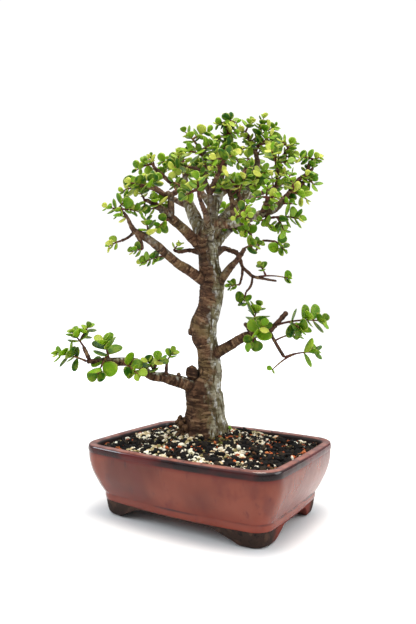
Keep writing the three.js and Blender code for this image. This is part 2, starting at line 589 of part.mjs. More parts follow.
// Opposite pairs of leaves, each pair square to the last, the youngest and smallest at the tip.
function placeLeaves(allStems, leafLengths) {
  const balls = [...woodBalls(), ...allStems.flat().flatMap(stemBalls)];
  const placedLeaves = [];
  allStems.forEach((stems, owner) => {
    const draw = randomSource(7919 * (owner + 1));
    for (const stem of stems) {
      stem.firstAngle = Math.PI * draw();
      stem.nodes = [];
      for (let pair = 0; pair < stem.pairs; pair++) {
        const fromTip = 1.2 * nodeHalf + pair * pairSpacing * leafLengths[owner];
        const share = 1 - fromTip / stem.length;
        const node = { share, leaves: [null, null, null, null] };
        for (const half of [0, 1]) {
          const length = leafLengths[owner] * (0.92 + 0.12 * pair) * (0.85 + 0.3 * draw());
          const angle = stem.firstAngle + (pair + 2 * half) * Math.PI / 2 + 0.5 * (draw() - 0.5);
          const lift = leafLift * (1.25 - 0.3 * pair) + 0.3 * (draw() - 0.5);
          for (let attempt = 0; attempt < leafTries && share > 0.2; attempt++) {
            const swing = 0.25 * Math.ceil(attempt / 2) * (attempt % 2 ? 1 : -1);
            const leaf = leafAt(stem, share, angle + swing, lift * (1 - 0.1 * attempt), length);
            leaf.probes = probePlaces.map((place) => onLeaf(leaf, place));
            if (leafIsFree(leaf, balls, placedLeaves)) {
              placedLeaves.push(leaf);
              node.leaves[(pair + 2 * half + 3) % 4] = leaf;
              break;
            }
          }
        }
        if (share > 0.2) {
          stem.nodes.unshift(node);
        }
      }
    }
  });
}

// A four-sided stem whose leaves grow out of its faces, each blade flat above and keeled below.
function leafyStem(stem) {
  const points = [];
  const triangles = [];
  const ring = (share) => {
    const radius = stem.radius * (1 - stemTaper * share);
    for (let corner = 0; corner < 4; corner++) {
      const out = wayOut(stem, share, stem.firstAngle + (corner + 0.5) * Math.PI / 2);
      points.push(stem.curve.getPoint(share).addScaledVector(out, radius).toArray());
    }
  };
  const half = nodeHalf / stem.length;
  const shares = [0, ...stem.nodes.flatMap(({ share }) => [share - half, share + half])];
  shares.forEach(ring);
  shares.slice(1).forEach((share, segment) => {
    const leaves = segment % 2 ? stem.nodes[(segment - 1) / 2].leaves : [];
    for (let i = 0; i < 4; i++) {
      const j = (i + 1) % 4;
      const root = [i, j, 4 + j, 4 + i].map((corner) => 4 * segment + corner);
      if (leaves[i]) {
        addBlade(points, triangles, leaves[i], root);
      } else {
        triangles.push([root[0], root[1], root[2]], [root[0], root[2], root[3]]);
      }
    }
  });
  const end = 4 * (shares.length - 1);
  triangles.push([0, 2, 1], [0, 3, 2], [end, end + 1, end + 2], [end, end + 2, end + 3]);
  return solid(points, triangles);
}

// A blade that grows from the four corners of a face of its stem, a and b on its lower side.
function addBlade(points, triangles, leaf, corners) {
  const [a, b, c, d] = [4, 5, 6, 7].map((corner) => corners[(corner - leaf.turns) % 4]);
  const first = points.length;
  for (const place of leafOutline) {
    points.push(onLeaf(leaf, place, leafCup * Math.abs(place[1])).toArray());
  }
  points.push(onLeaf(leaf, [leafKeel, 0], -leafThickness).toArray());
  const [p, q, r, s, keel] = [0, 1, 2, 3, 4].map((i) => first + i);
  triangles.push(
    [d, s, c], [s, p, c], [s, r, p], [r, q, p], // the upper face
    [keel, s, a], [keel, r, s], [keel, q, r], [keel, p, q], [keel, b, p], [keel, a, b],
    [c, p, b], [a, s, d]); // the two edges at the root
}

function makeShoots(grownWood) {
  const rows = Object.values(shoots);
  const allStems = rows.map(stemsOf);
  placeLeaves(allStems, rows.map((row) => row[2]));
  return allStems.map((stems) => (
    largestBody(wasm.Manifold.union(stems.map(leafyStem)).subtract(grownWood))));
}

// ---- The whole part ----

const bonsai = new THREE.Group();
const grownWood = makeWood(clearance);
bonsai.add(toMesh('pot', makePot(), 'glaze'));
bonsai.add(toMesh('soil', makeSoil(grownWood), 'grit'));
bonsai.add(toMesh('trunk', makeWood(0), 'bark'));
makeShoots(grownWood).forEach((shoot, i) => {
  bonsai.add(toMesh(`shoot_${Object.keys(shoots)[i]}`, shoot, 'leaf'));
});
const bounds = new THREE.Box3().setFromObject(bonsai);
const centre = bounds.getCenter(new THREE.Vector3());
bonsai.position.set(-centre.x, -centre.y, -bounds.min.z);

export default bonsai;
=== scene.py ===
import math

import bmesh
import bpy
import numpy as np
from mathutils import Matrix, Vector


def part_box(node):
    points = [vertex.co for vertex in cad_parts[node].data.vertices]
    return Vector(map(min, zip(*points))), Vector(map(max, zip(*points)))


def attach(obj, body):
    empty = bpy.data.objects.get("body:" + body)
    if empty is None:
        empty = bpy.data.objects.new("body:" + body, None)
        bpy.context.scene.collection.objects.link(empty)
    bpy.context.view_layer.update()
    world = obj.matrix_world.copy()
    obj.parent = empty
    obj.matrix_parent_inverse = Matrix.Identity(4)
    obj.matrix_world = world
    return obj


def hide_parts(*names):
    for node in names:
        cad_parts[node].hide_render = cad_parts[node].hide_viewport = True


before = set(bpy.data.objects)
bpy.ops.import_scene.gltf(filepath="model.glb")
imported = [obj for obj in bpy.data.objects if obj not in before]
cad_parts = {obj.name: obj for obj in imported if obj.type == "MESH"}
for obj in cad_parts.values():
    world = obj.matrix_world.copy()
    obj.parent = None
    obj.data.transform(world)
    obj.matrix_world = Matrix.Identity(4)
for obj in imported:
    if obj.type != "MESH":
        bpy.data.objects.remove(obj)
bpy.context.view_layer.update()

# Everything is laid out in millimetres round the middle of the pot, then moved to the frame.
potLow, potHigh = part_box("pot")
potMiddle = np.array([(potLow.x + potHigh.x) / 2, (potLow.y + potHigh.y) / 2, 0.0])
mm = 0.001

layout = {
    "trunkPlace": (-20.9, 24.2),  # along the pot and across it
    "treeTurn": math.radians(32),  # from the pot's length to the tree's own way across
}

limbs = {  # points of each limb: across, up, near, radius
    "trunk": [[0, 42, 0, 21], [0, 68, 0, 26], [0, 89, 0, 28], [-1, 107, 0, 24.5], [-1, 124, 0, 23],
      [-2, 140, 0, 22.5], [2, 154, 0, 17.5], [5, 167, 0, 14.5], [4, 182, 0, 13.5], [2, 196, 0, 13.5],
      [-2, 208, 0, 15], [-3, 220, 0, 16.5], [1, 232, 0, 15], [5, 247, 0, 14], [8, 264, 0, 15],
      [8, 279, 0, 14.5], [5, 295, 0, 13], [4, 309, 0, 12.5], [2, 322, 0, 12], [1, 336, -4, 9.5],
      [5, 353, -9, 8.5], [10, 372, -14, 7.5], [17, 390, -19, 6], [19, 408, -24, 5], [16, 423, -26, 4],
      [11, 438, -28, 3], [10, 448, -28, 2]],
    "rearLeftLimb": [[3, 321, -2, 9], [-6, 342, -12, 8.5], [-15, 364, -24, 8], [-22, 383, -36, 6.5],
      [-26, 403, -46, 4.5], [-28, 422, -54, 3.5], [-29, 438, -58, 2.5]],
    "centreLimb": [[4, 330, 6, 6], [7, 349, 10, 5.5], [8, 368, 12, 4.5], [5, 387, 12, 3.5],
      [-1, 403, 12, 3.5], [3, 425, 12, 5], [-2, 434, 12, 4.5], [-7, 441, 14, 2], [-11, 446, 16, 2]],
    "upperLeftLimb": [[-1, 315, 4, 7.5], [-11, 325, 10, 6.5], [-20, 334, 16, 6], [-30, 343, 22, 5.5],
      [-41, 352, 28, 5.5], [-51, 361, 32, 4.5], [-62, 368, 34, 3], [-71, 373, 36, 2]],
    "upperLeftRiser": [[-41, 352, 28, 4], [-41, 376, 32, 3.5], [-35, 383, 32, 3], [-29, 389, 31, 2.5]],
    "upperLeftReach": [[-41, 376, 32, 3], [-50, 379, 38, 2.5], [-59, 383, 42, 2], [-68, 386, 44, 2]],
    "leftSkyTwig": [[-23, 385, -36, 3], [-34, 397, -26, 2.5], [-51, 410, -8, 2.5], [-65, 421, 2, 2.5]],
    "leftHighTwig": [[-1, 413, 12, 2.5], [-19, 423, -6, 2], [-32, 426, -14, 2], [-44, 430, -20, 1.5]],
    "longLeftLimb": [[1, 275, 2, 7.5], [-10, 283, 8, 6.5], [-21, 290, 14, 6], [-33, 297, 22, 5.5],
      [-44, 306, 30, 5], [-56, 316, 36, 5], [-66, 324, 40, 4.5], [-75, 329, 42, 4.5],
      [-83, 334, 44, 3.5], [-88, 342, 46, 2.5], [-91, 349, 48, 2], [-96, 356, 50, 1.5]],
    "longLeftStub": [[-80, 330, 43, 3], [-76, 321, 44, 2.5], [-74, 312, 46, 2]],
    "longLeftTwig": [[-83, 333, 44, 2], [-91, 326, 46, 1.5], [-99, 322, 47, 1.5]],
    "arcLimb": [[-2, 318, 12, 6], [-4, 328, 17, 6], [0, 337, 22, 6.5], [7, 343, 27, 7],
      [17, 345, 31, 6.5], [29, 344, 35, 5.5], [42, 346, 38, 5], [56, 350, 42, 4.5], [68, 354, 46, 5],
      [79, 358, 48, 5], [87, 364, 50, 4], [93, 371, 50, 3], [99, 379, 50, 2]],
    "arcStub": [[73, 354, 47, 3.5], [73, 346, 48, 3], [72, 338, 48, 2.5]],
    "frontArch": [[32, 346, 36, 3], [33, 361, 33, 3], [32, 374, 30, 3], [28, 385, 25, 2.5],
      [20, 391, 14, 2.5], [14, 395, -12, 2.5]],
    "innerRiser": [[45, 348, 39, 3], [44, 364, 36, 2.5], [42, 375, 32, 2.5], [38, 385, 27, 2]],
    "rearRightLimb": [[5, 334, -6, 7.5], [21, 357, -20, 7], [38, 376, -31, 6.5], [50, 391, -36, 6],
      [58, 406, -38, 5.5], [65, 421, -38, 4.5], [69, 436, -36, 3.5], [66, 451, -34, 3],
      [60, 463, -32, 2.5], [56, 473, -30, 2]],
    "rightRiser": [[74, 357, 46, 3], [77, 372, 39, 2.5], [84, 386, 32, 2.5], [87, 399, 28, 2],
      [88, 412, 24, 2], [93, 425, 20, 1.5], [99, 436, 18, 1.2]],
    "farRightTwig": [[94, 372, 50, 2.5], [102, 383, 44, 2.5], [112, 396, 36, 2.5], [130, 410, 27, 2]],
    "farRightKnot": [[121, 403, 31, 2], [125, 413, 28, 2.2], [128, 421, 28, 2.8]],
    "topTwig": [[19, 407, -23, 3.5], [23, 419, -16, 3], [26, 433, -6, 2.5], [26, 447, 0, 2.5],
      [26, 463, 4, 2.5], [28, 474, 6, 3.4], [29, 478, 6, 3]],
    "lowForkTwig": [[-9, 314, 4, 4], [-20, 315, 11, 2.5], [-31, 313, 16, 2.5], [-39, 314, 19, 1.5]],
    "rightLoop": [[11, 310, 0, 5], [22, 319, -6, 3.5], [32, 316, -2, 3], [39, 312, 6, 3],
      [43, 303, 10, 2.5], [46, 294, 12, 2], [53, 287, 14, 2], [59, 282, 16, 2], [76, 278, 20, 1.5],
      [87, 276, 20, 1.2]],
    "rightLoopDrop": [[46, 294, 12, 2], [45, 283, 14, 1.5], [42, 272, 16, 1.5]],
    "rightLoopFoot": [[58, 282, 16, 1.5], [56, 271, 14, 1.5], [50, 263, 12, 1.2]],
    "cutRightLimb": [[10, 267, 2, 7.5], [21, 281, 8, 5], [30, 293, 12, 4.5], [37, 300, 17, 3.5],
      [43, 308, 21, 3], [48, 316, 24, 2.5]],
    "innerRightLimb": [[10, 317, -6, 6.5], [19, 332, -14, 5], [31, 344, -20, 3.5], [45, 351, -24, 2.5],
      [59, 353, -26, 2]],
    "hangingTwig": [[47, 351, -24, 2], [49, 344, -24, 2], [58, 341, -22, 2], [59, 327, -20, 2],
      [60, 318, -17, 1.5], [65, 318, -14, 1.5], [72, 329, -10, 1.5], [89, 328, -6, 1.5]],
    "lowRightLimb": [[3, 180, 0, 8], [16, 189, 7, 6.5], [30, 197, 12, 6], [42, 205, 16, 5.5],
      [53, 210, 20, 5], [65, 212, 24, 4], [75, 214, 28, 3.5], [84, 223, 32, 3], [97, 238, 38, 3]],
    "lowRightStub": [[55, 212, 20, 2.5], [52, 219, 16, 2.5], [48, 225, 14, 2.5]],
    "lowRightDrop": [[77, 214, 28, 2.5], [82, 205, 30, 2], [88, 194, 32, 2], [94, 184, 34, 2]],
    "lowLeftLimb": [[1, 138, 0, 14], [-14, 146, 6, 10.5], [-27, 151, 10, 8], [-41, 155, 14, 7],
      [-53, 159, 18, 6], [-63, 160, 20, 5.5], [-72, 165, 22, 5], [-79, 175, 24, 5],
      [-89, 178, 26, 5.5], [-101, 179, 28, 5], [-112, 179, 30, 5], [-123, 180, 32, 4],
      [-142, 180, 36, 2.5]],
    "lowLeftRiser": [[-138, 180, 35, 2.5], [-142, 190, 37, 2.5], [-145, 198, 39, 2]],
    "lowLeftPost": [[-49, 160, 18, 2.5], [-48, 171, 21, 2], [-47, 179, 22, 1.5]],
    "lowLeftStub": [[-35, 154, 12, 4], [-33, 164, 13, 2]],
    "frontLimb": [[5, 338, 22, 4.5], [1, 352, 46, 3.5], [-4, 362, 66, 2.5], [-7, 369, 80, 2]],
    "frontRightTwig": [[42, 346, 40, 3.5], [45, 350, 58, 2.5], [43, 352, 72, 2]],
    "frontHighTwig": [[6, 386, 12, 3], [11, 394, 34, 3], [17, 402, 52, 2], [19, 410, 62, 1.5]],
    "rightFrontTwig": [[67, 355, 46, 3], [69, 361, 60, 2.5], [70, 365, 72, 1.5]],
    "backLeftTwig": [[10, 371, -16, 4.5], [0, 392, -45, 4], [-9, 411, -70, 3], [-12, 429, -88, 2]],
    "backRightTwig": [[17, 389, -20, 4], [35, 409, -50, 3.5], [51, 430, -74, 3], [61, 450, -90, 2]],
    "backFarLeftTwig": [[-20, 377, -32, 4], [-40, 391, -55, 3.5], [-59, 405, -74, 3],
      [-74, 420, -88, 2]],
    "backFarRightTwig": [[50, 390, -36, 4], [72, 400, -58, 3.5], [95, 412, -76, 2.5],
      [113, 424, -88, 2]],
    "backLowTwig": [[4, 329, -6, 5], [16, 342, -38, 4], [29, 355, -64, 3.5], [38, 369, -84, 2.5]],
    "leftKnob": [[-4, 163, 4, 7], [-12, 163, 8, 8.6], [-18, 163, 11, 8], [-20, 163, 12, 5.5]],
    "leftSpur": [[-8, 213, 0, 6], [-16, 213.5, 2, 5], [-22, 214, 3, 3.5]],
    "sawnStub": [[46, 386, -35, 6], [50, 392, -28, 7.5], [52, 400, -23, 7]],
    "arcKnob": [[8, 340, 12, 6], [18, 342, 20, 7.5], [20, 341, 27, 6.5]],
    "riserKnob": [[-41, 377, 32, 4], [-45, 380, 35, 4.2], [-47, 382, 36, 3]],
}

shoots = {  # the limb, how far along it, the leaf length, and each stem's tip
    "farLeftTip": ["lowLeftLimb", 1, 11, [-177, 189, 40]],
    "lowLeftRise": ["lowLeftRiser", 1, 10.5, [-158, 215, 42], [-140, 221, 36]],
    "lowLeftTuft": ["lowLeftLimb", 0.86, 12.5, [-121, 205, 40], [-127, 165, 44]],
    "lowLeftHang": ["lowLeftLimb", 0.77, 14, [-79, 165, 46]],
    "lowLeftMid": ["lowLeftLimb", 0.4, 12, [-69, 180, 34], [-54, 183, 38]],
    "lowLeftPostTop": ["lowLeftPost", 1, 9.5, [-39, 190, 24]],
    "lowRightReach": ["lowRightLimb", 0.86, 12, [139, 227, 42], [115, 215, 46]],
    "lowRightTuft": ["lowRightLimb", 0.5, 11.5, [66, 246, 10]],
    "lowRightFront": ["lowRightLimb", 0.6, 14, [69, 221, 44], [54, 199, 40]],
    "lowRightDropTip": ["lowRightDrop", 1, 11, [130, 190, 40], [79, 169, 36]],
    "lowRightDropMid": ["lowRightDrop", 0.38, 10, [115, 212, 20]],
    "loopFootTip": ["rightLoopFoot", 1, 10, [47, 248, 12]],
    "loopDropTip": ["rightLoopDrop", 1, 9, [29, 269, 18]],
    "loopTip": ["rightLoop", 0.8, 10, [101, 279, 24], [66, 295, 27]],
    "hangingTip": ["hangingTwig", 1, 10, [100, 315, 0]],
    "cutLimbTip": ["cutRightLimb", 1, 10, [65, 320, 31]],
    "innerRightTip": ["innerRightLimb", 1, 10.5, [50, 339, -8]],
    "arcStubTip": ["arcStub", 0.4, 12, [110, 346, 54], [92, 333, 50]],
    "arcTip": ["arcLimb", 1, 12, [120, 370, 46], [99, 391, 58]],
    "farRightTip": ["farRightTwig", 0.8, 14, [130, 389, 38], [111, 382, 44]],
    "farRightTop": ["farRightKnot", 1, 10, [139, 424, 30], [112, 422, 36]],
    "rightRiserTip": ["rightRiser", 1, 11, [111, 446, 16], [92, 444, 30]],
    "rightRiserMid": ["rightRiser", 0.67, 12.5, [78, 429, 46], [99, 415, 40]],
    "topRightTip": ["rearRightLimb", 1, 10.5, [46, 480, -32], [61, 489, -24]],
    "topRightReach": ["rearRightLimb", 0.89, 10.5, [92, 479, -20], [77, 494, -28]],
    "topRightFill": ["rearRightLimb", 0.78, 12, [84, 462, -4], [100, 467, -50], [47, 447, -12]],
    "topTip": ["topTwig", 1, 10, [40, 473, 10], [16, 475, 0]],
    "topMid": ["topTwig", 0.66, 10.5, [40, 459, 14], [14, 450, 12]],
    "topFill": ["topTwig", 0.45, 12.5, [36, 438, 20], [11, 434, 24], [42, 423, 10]],
    "leaderTip": ["trunk", 1, 11, [10, 464, -20], [0, 456, -34]],
    "centreTip": ["centreLimb", 1, 11, [-25, 459, 22], [4, 462, 12]],
    "centreMid": ["centreLimb", 0.7, 13, [-21, 432, 32], [7, 441, 28]],
    "leftHighTips": ["leftHighTwig", 0.75, 11.5, [-33, 441, 0], [-38, 410, 20], [-58, 432, -18]],
    "leftSkyTip": ["leftSkyTwig", 1, 11, [-71, 431, 6], [-88, 419, -6]],
    "leftReachTip": ["upperLeftReach", 0.67, 12, [-88, 389, 52], [-98, 383, 38], [-57, 398, 26]],
    "leftForkTip": ["upperLeftLimb", 1, 11.5, [-73, 361, 42], [-77, 381, 34]],
    "leftForkMid": ["upperLeftLimb", 0.75, 11.5, [-61, 372, 46], [-50, 370, 20]],
    "leftRiserTip": ["upperLeftRiser", 1, 13, [-20, 374, 48], [-39, 397, 22]],
    "longLeftTip": ["longLeftLimb", 1, 10.5, [-115, 360, 54], [-92, 372, 44], [-77, 356, 46]],
    "longLeftFill": ["longLeftLimb", 0.55, 12, [-69, 346, 48]],
    "leftCrotch": ["upperLeftLimb", 0.57, 13, [-55, 338, 46]],
    "longLeftLow": ["longLeftTwig", 1, 9.5, [-114, 315, 47]],
    "longLeftDrop": ["longLeftStub", 1, 9, [-86, 309, 48]],
    "longLeftUnder": ["longLeftLimb", 0.37, 10, [-77, 296, 36]],
    "lowForkTip": ["lowForkTwig", 1, 8.5, [-31, 322, 24]],
    "frontTip": ["frontLimb", 1, 15, [-8, 383, 92], [-22, 366, 84]],
    "frontRightTip": ["frontRightTwig", 1, 15, [47, 347, 84], [34, 341, 82]],
    "frontHighTip": ["frontHighTwig", 1, 13.5, [33, 417, 66], [12, 411, 70]],
    "innerTip": ["innerRiser", 1, 13, [38, 391, 38], [51, 400, 40], [27, 398, 44]],
    "rightFrontTip": ["rightFrontTwig", 1, 13.5, [79, 367, 78], [56, 366, 76]],
    "rightInnerFill": ["rearRightLimb", 0.52, 13, [64, 398, -10], [78, 414, 2]],
    "backLeftTip": ["backLeftTwig", 1, 12, [-14, 452, -102], [8, 444, -104]],
    "backRightTip": ["backRightTwig", 1, 12, [60, 470, -98], [83, 449, -102]],
    "backFarLeftTip": ["backFarLeftTwig", 1, 12, [-86, 431, -96], [-63, 441, -94]],
    "backFarRightTip": ["backFarRightTwig", 1, 12, [125, 438, -94], [103, 445, -100]],
    "backLowTip": ["backLowTwig", 1, 12, [45, 385, -98], [23, 391, -100]],
    "rearLeftTip": ["rearLeftLimb", 1, 12, [-31, 455, -64], [-49, 452, -72]],
}

rightWay = np.array([math.cos(layout["treeTurn"]), math.sin(layout["treeTurn"]), 0])
nearWay = np.array([math.sin(layout["treeTurn"]), -math.cos(layout["treeTurn"]), 0])
trunkFoot = np.array([*layout["trunkPlace"], 0])
hashing = {"steps": (73856093, 19349663, 83492791), "seedStep": 26544357, "mix": 1274126177}


def placed(points):  # from the tree's across, up and near
    p = np.asarray(points, float)[..., None]
    return trunkFoot + p[..., 0, :] * rightWay + p[..., 2, :] * nearWay + p[..., 1, :] * (0, 0, 1)


def fromTrunk(x, y):
    return np.hypot(x - trunkFoot[0], y - trunkFoot[1])


def lattice(cell, seed):  # a number from 0 to 1 for each cell, the same in each run
    x, y, z = (cell[:, i] * hashing["steps"][i] for i in range(3))
    h = x ^ y ^ z ^ (seed * hashing["seedStep"])
    h = ((h ^ (h >> 13)) * hashing["mix"]) & 0xffffffff
    h = (h ^ (h >> 15)) & 0xffff
    return h / 0xffff


# Smooth noise from 0 to 1, its scale in cells per millimetre.
def softNoise(points, scale, seed=1):
    p = np.asarray(points, float) * np.asarray(scale, float)
    cell = np.floor(p).astype(np.int64)
    f = p - cell
    f = f * f * (3 - 2 * f)
    ends = np.stack([1 - f, f])
    total = 0
    for dx, dy, dz in np.ndindex(2, 2, 2):
        weight = ends[dx, :, 0] * ends[dy, :, 1] * ends[dz, :, 2]
        total = total + weight * lattice(cell + (dx, dy, dz), seed)
    return total


def layeredNoise(points, scale, octaves=3, seed=1):
    scale = np.asarray(scale, float)
    total, size, norm = 0, 1.0, 0
    for i in range(octaves):
        total = total + size * softNoise(points, scale * 2 ** i, seed + 7 * i)
        norm += size
        size *= 0.5
    return total / norm


def swayed(points, scale, octaves, seed):  # layered noise round nought
    return layeredNoise(points, scale, octaves, seed) - 0.5


def smoothStep(low, high, value):
    t = np.clip((np.asarray(value) - low) / (high - low), 0, 1)
    return t * t * (3 - 2 * t)


def unit(v):
    return v / np.linalg.norm(v)


def drawer(seed):  # random numbers from 0 to 1, the same in each run
    state, step, most = seed, 16807, 2 ** 31 - 1

    def draw():
        nonlocal state
        state = state * step % most
        return state / most
    return draw


def between(ends, share):
    return ends[0] + (ends[1] - ends[0]) * share


def inFrame(places):
    return np.asarray(places, float) * mm + potMiddle


def meshPlaces(mesh):  # back in millimetres
    places = np.empty(len(mesh.vertices) * 3)
    mesh.vertices.foreach_get("co", places)
    return (places.reshape(-1, 3) - potMiddle) / mm


def newObject(name, data):
    made = bpy.data.objects.new(name, data)
    bpy.context.collection.objects.link(made)
    return made


def newMesh(name, verts, faces):
    mesh = bpy.data.meshes.new(name)
    mesh.from_pydata(inFrame(verts).tolist(), [], faces)
    mesh.update()
    return newObject(name, mesh)


def setValues(mesh, values):  # numbers at the points, which the material reads
    for key, data in values.items():
        layer = mesh.attributes.new(key, "FLOAT", "POINT")
        layer.data.foreach_set("value", np.asarray(data, np.float32))


def setSmooth(mesh, smooth=True):
    mesh.polygons.foreach_set("use_smooth", [smooth] * len(mesh.polygons))
    mesh.update()


def addPiece(name, verts, faces, material, slot, values=None, smooth=True, replaces=()):
    piece = newMesh(name, verts, faces)
    setValues(piece.data, values or {})
    setSmooth(piece.data, smooth)
    return dress(piece, material, replaces)


def dress(piece, material, replaces=()):
    piece.data.materials.clear()
    piece.data.materials.append(material)
    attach(piece, "root")
    if replaces:
        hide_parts(*replaces)
    return piece


def settle(piece):  # the piece's mesh with its modifiers worked in
    graph = bpy.context.evaluated_depsgraph_get()
    mesh = bpy.data.meshes.new_from_object(piece.evaluated_get(graph))
    piece.modifiers.clear()
    old = piece.data
    piece.data = mesh
    bpy.data.meshes.remove(old)


def loft(rings):  # a closed skin over the rings
    count = len(rings[0])
    verts = np.concatenate([*rings, [np.mean(rings[0], 0), np.mean(rings[-1], 0)]])
    faces = []
    for row in range(len(rings) - 1):
        for i in range(count):
            a, b = row * count + i, row * count + (i + 1) % count
            faces.append((a, b, b + count, a + count))
    last = (len(rings) - 1) * count
    for i in range(count):
        j = (i + 1) % count
        faces.append((j, i, len(verts) - 2))
        faces.append((last + i, last + j, len(verts) - 1))
    return verts, faces


def tubeRings(path, radii, sides):
    rings, side = [], None
    for i in range(len(path)):
        along = unit(path[min(i + 1, len(path) - 1)] - path[max(i - 1, 0)])
        side = np.cross((1, 0.01, 0), along) if side is None else side
        side = unit(side - along * np.dot(side, along))
        other = np.cross(along, side)
        angles = np.arange(sides) * 2 * math.pi / sides
        ring = np.outer(np.cos(angles), side) + np.outer(np.sin(angles), other)
        rings.append(path[i] + radii[i] * ring)
    return rings


def joined(parts):
    verts, faces, start = [], [], 0
    for v, f in parts:
        verts.append(v)
        faces += [tuple(i + start for i in face) for face in f]
        start += len(v)
    return np.concatenate(verts), faces


def ballShape(rounds):
    mesh = bpy.data.meshes.new("ball")
    made = bmesh.new()
    bmesh.ops.create_icosphere(made, subdivisions=rounds, radius=1)
    made.to_mesh(mesh)
    made.free()
    verts = np.array([v.co for v in mesh.vertices])
    faces = [tuple(p.vertices) for p in mesh.polygons]
    bpy.data.meshes.remove(mesh)
    return verts, faces


def shade(red, green, blue):  # a screen colour, 0 to 255, as the linear one a shader takes
    return tuple(v / 12.92 if v <= 0.04045 else ((v + 0.055) / 1.055) ** 2.4
                 for v in (red / 255, green / 255, blue / 255))


def feed(tree, socket, value):  # a node's output, a colour or a number
    if hasattr(value, "is_output"):
        tree.links.new(value, socket)
    else:
        socket.default_value = (*value, 1) if socket.type == "RGBA" else value


def newMaterial(name, sockets):
    material = bpy.data.materials.new(name)
    material.use_nodes = True
    tree = material.node_tree
    shader = tree.nodes["Principled BSDF"]
    for key, value in sockets.items():
        feed(tree, shader.inputs[key], value)
    return material, tree, shader


def node(tree, kind, **inputs):
    made = tree.nodes.new("ShaderNode" + kind)
    for key, value in inputs.items():
        if hasattr(made, key) and key not in made.inputs:
            setattr(made, key, value)
        else:
            feed(tree, made.inputs[key], value)
    return made


def attribute(tree, name):
    return node(tree, "Attribute", attribute_name=name).outputs["Fac"]


def objectPlace(tree):
    return node(tree, "TexCoord").outputs["Object"]


def spread(tree, value, low, high, outLow=0.0, outHigh=1.0):
    made = node(tree, "MapRange", interpolation_type="SMOOTHSTEP", Value=value)
    for key, number in (("From Min", low), ("From Max", high), ("To Min", outLow), ("To Max", outHigh)):
        feed(tree, made.inputs[key], number)
    return made.outputs["Result"]


def mixed(tree, mask, first, second):
    made = node(tree, "Mix", data_type="RGBA")
    for i, value in ((0, mask), (6, first), (7, second)):
        feed(tree, made.inputs[i], value)
    return made.outputs[2]


def worked(tree, kind, operation, *values):  # a Math or a VectorMath node
    made = node(tree, kind, operation=operation)
    for socket, value in zip(made.inputs, values):
        feed(tree, socket, value)
    return made.outputs[0]


def times(tree, first, *others):
    for other in others:
        first = worked(tree, "Math", "MULTIPLY", first, other)
    return first


def bumped(tree, shader, height, distance, strength=1.0):
    bump = node(tree, "Bump", Height=height, Distance=distance, Strength=strength)
    feed(tree, shader.inputs["Normal"], bump.outputs["Normal"])


def newGroup(name, takes, gives):
    group = bpy.data.node_groups.new(name, "ShaderNodeTree")
    for sockets, way in ((takes, "INPUT"), (gives, "OUTPUT")):
        for key, kind in sockets.items():
            group.interface.new_socket(key, in_out=way, socket_type="NodeSocket" + kind)
    entry, leave = group.nodes.new("NodeGroupInput"), group.nodes.new("NodeGroupOutput")
    return group, entry.outputs, leave.inputs


def placeGroup(tree, group, **values):
    made = tree.nodes.new("ShaderNodeGroup")
    made.node_tree = group
    for key, value in values.items():
        feed(tree, made.inputs[key], value)
    return made.outputs


# Soft patches of noise as a mask. Below 1, upright draws them out upwards.
def cloudsGroup():
    names = ("Scale", "Detail", "From", "To", "Upright")
    group, takes, gives = newGroup("clouds", dict.fromkeys(names, "Float"), {"Mask": "Float"})
    drawnOut = node(group, "CombineXYZ", X=1.0, Y=1.0, Z=takes["Upright"]).outputs[0]
    place = worked(group, "VectorMath", "MULTIPLY", objectPlace(group), drawnOut)
    noise = node(group, "TexNoise", Vector=place, Scale=takes["Scale"], Detail=takes["Detail"])
    mask = spread(group, noise.outputs["Fac"], takes["From"], takes["To"])
    feed(group, gives["Mask"], mask)
    return group


# Fine grain: a colour broken up by two sizes of darker and paler spots.
speckleLook = {"detail": (4.0, 3.0), "roughness": 0.65, "coarser": 0.31, "dark": (0.46, 0.34),
               "pale": (0.52, 0.68)}


def speckleGroup():
    group, takes, gives = newGroup(
        "speckle", {"Color": "Color", "Dark": "Color", "Pale": "Color", "Scale": "Float"},
        {"Color": "Color", "Height": "Float"})
    place = objectPlace(group)
    fineDetail, coarseDetail = speckleLook["detail"]
    fine = node(group, "TexNoise", Vector=place, Scale=takes["Scale"], Detail=fineDetail,
                Roughness=speckleLook["roughness"]).outputs["Fac"]
    coarse = node(group, "TexNoise", Vector=place, Detail=coarseDetail,
                  Scale=times(group, takes["Scale"], speckleLook["coarser"])).outputs["Fac"]
    tone = mixed(group, spread(group, fine, *speckleLook["dark"]), takes["Color"], takes["Dark"])
    tone = mixed(group, spread(group, coarse, *speckleLook["pale"]), tone, takes["Pale"])
    feed(group, gives["Color"], tone)
    feed(group, gives["Height"], fine)
    return group


groups = {"clouds": cloudsGroup(), "speckle": speckleGroup()}


def clouds(tree, scale, detail, low, high, upright=1.0):
    values = {"Scale": scale, "Detail": detail, "From": low, "To": high, "Upright": upright}
    return placeGroup(tree, groups["clouds"], **values)["Mask"]


# A colour speckled by its dark and pale ones, and the surface bumped by the same grain.
def speckled(tree, shader, tones, scale, relief):
    values = dict(zip(("Color", "Dark", "Pale"), tones), Scale=scale)
    made = placeGroup(tree, groups["speckle"], **values)
    bumped(tree, shader, made["Height"], relief)
    return made["Color"]


# Lays a colour over a tone. A look is the colour, its strength and, if it has one, its clouds.
def laid(tree, tone, look, *masks):
    color, strength, *noise = look
    masks = [*masks, clouds(tree, *noise)] if noise else masks
    masks = masks if strength == 1 else [*masks, strength]
    return mixed(tree, times(tree, *masks), tone, color)


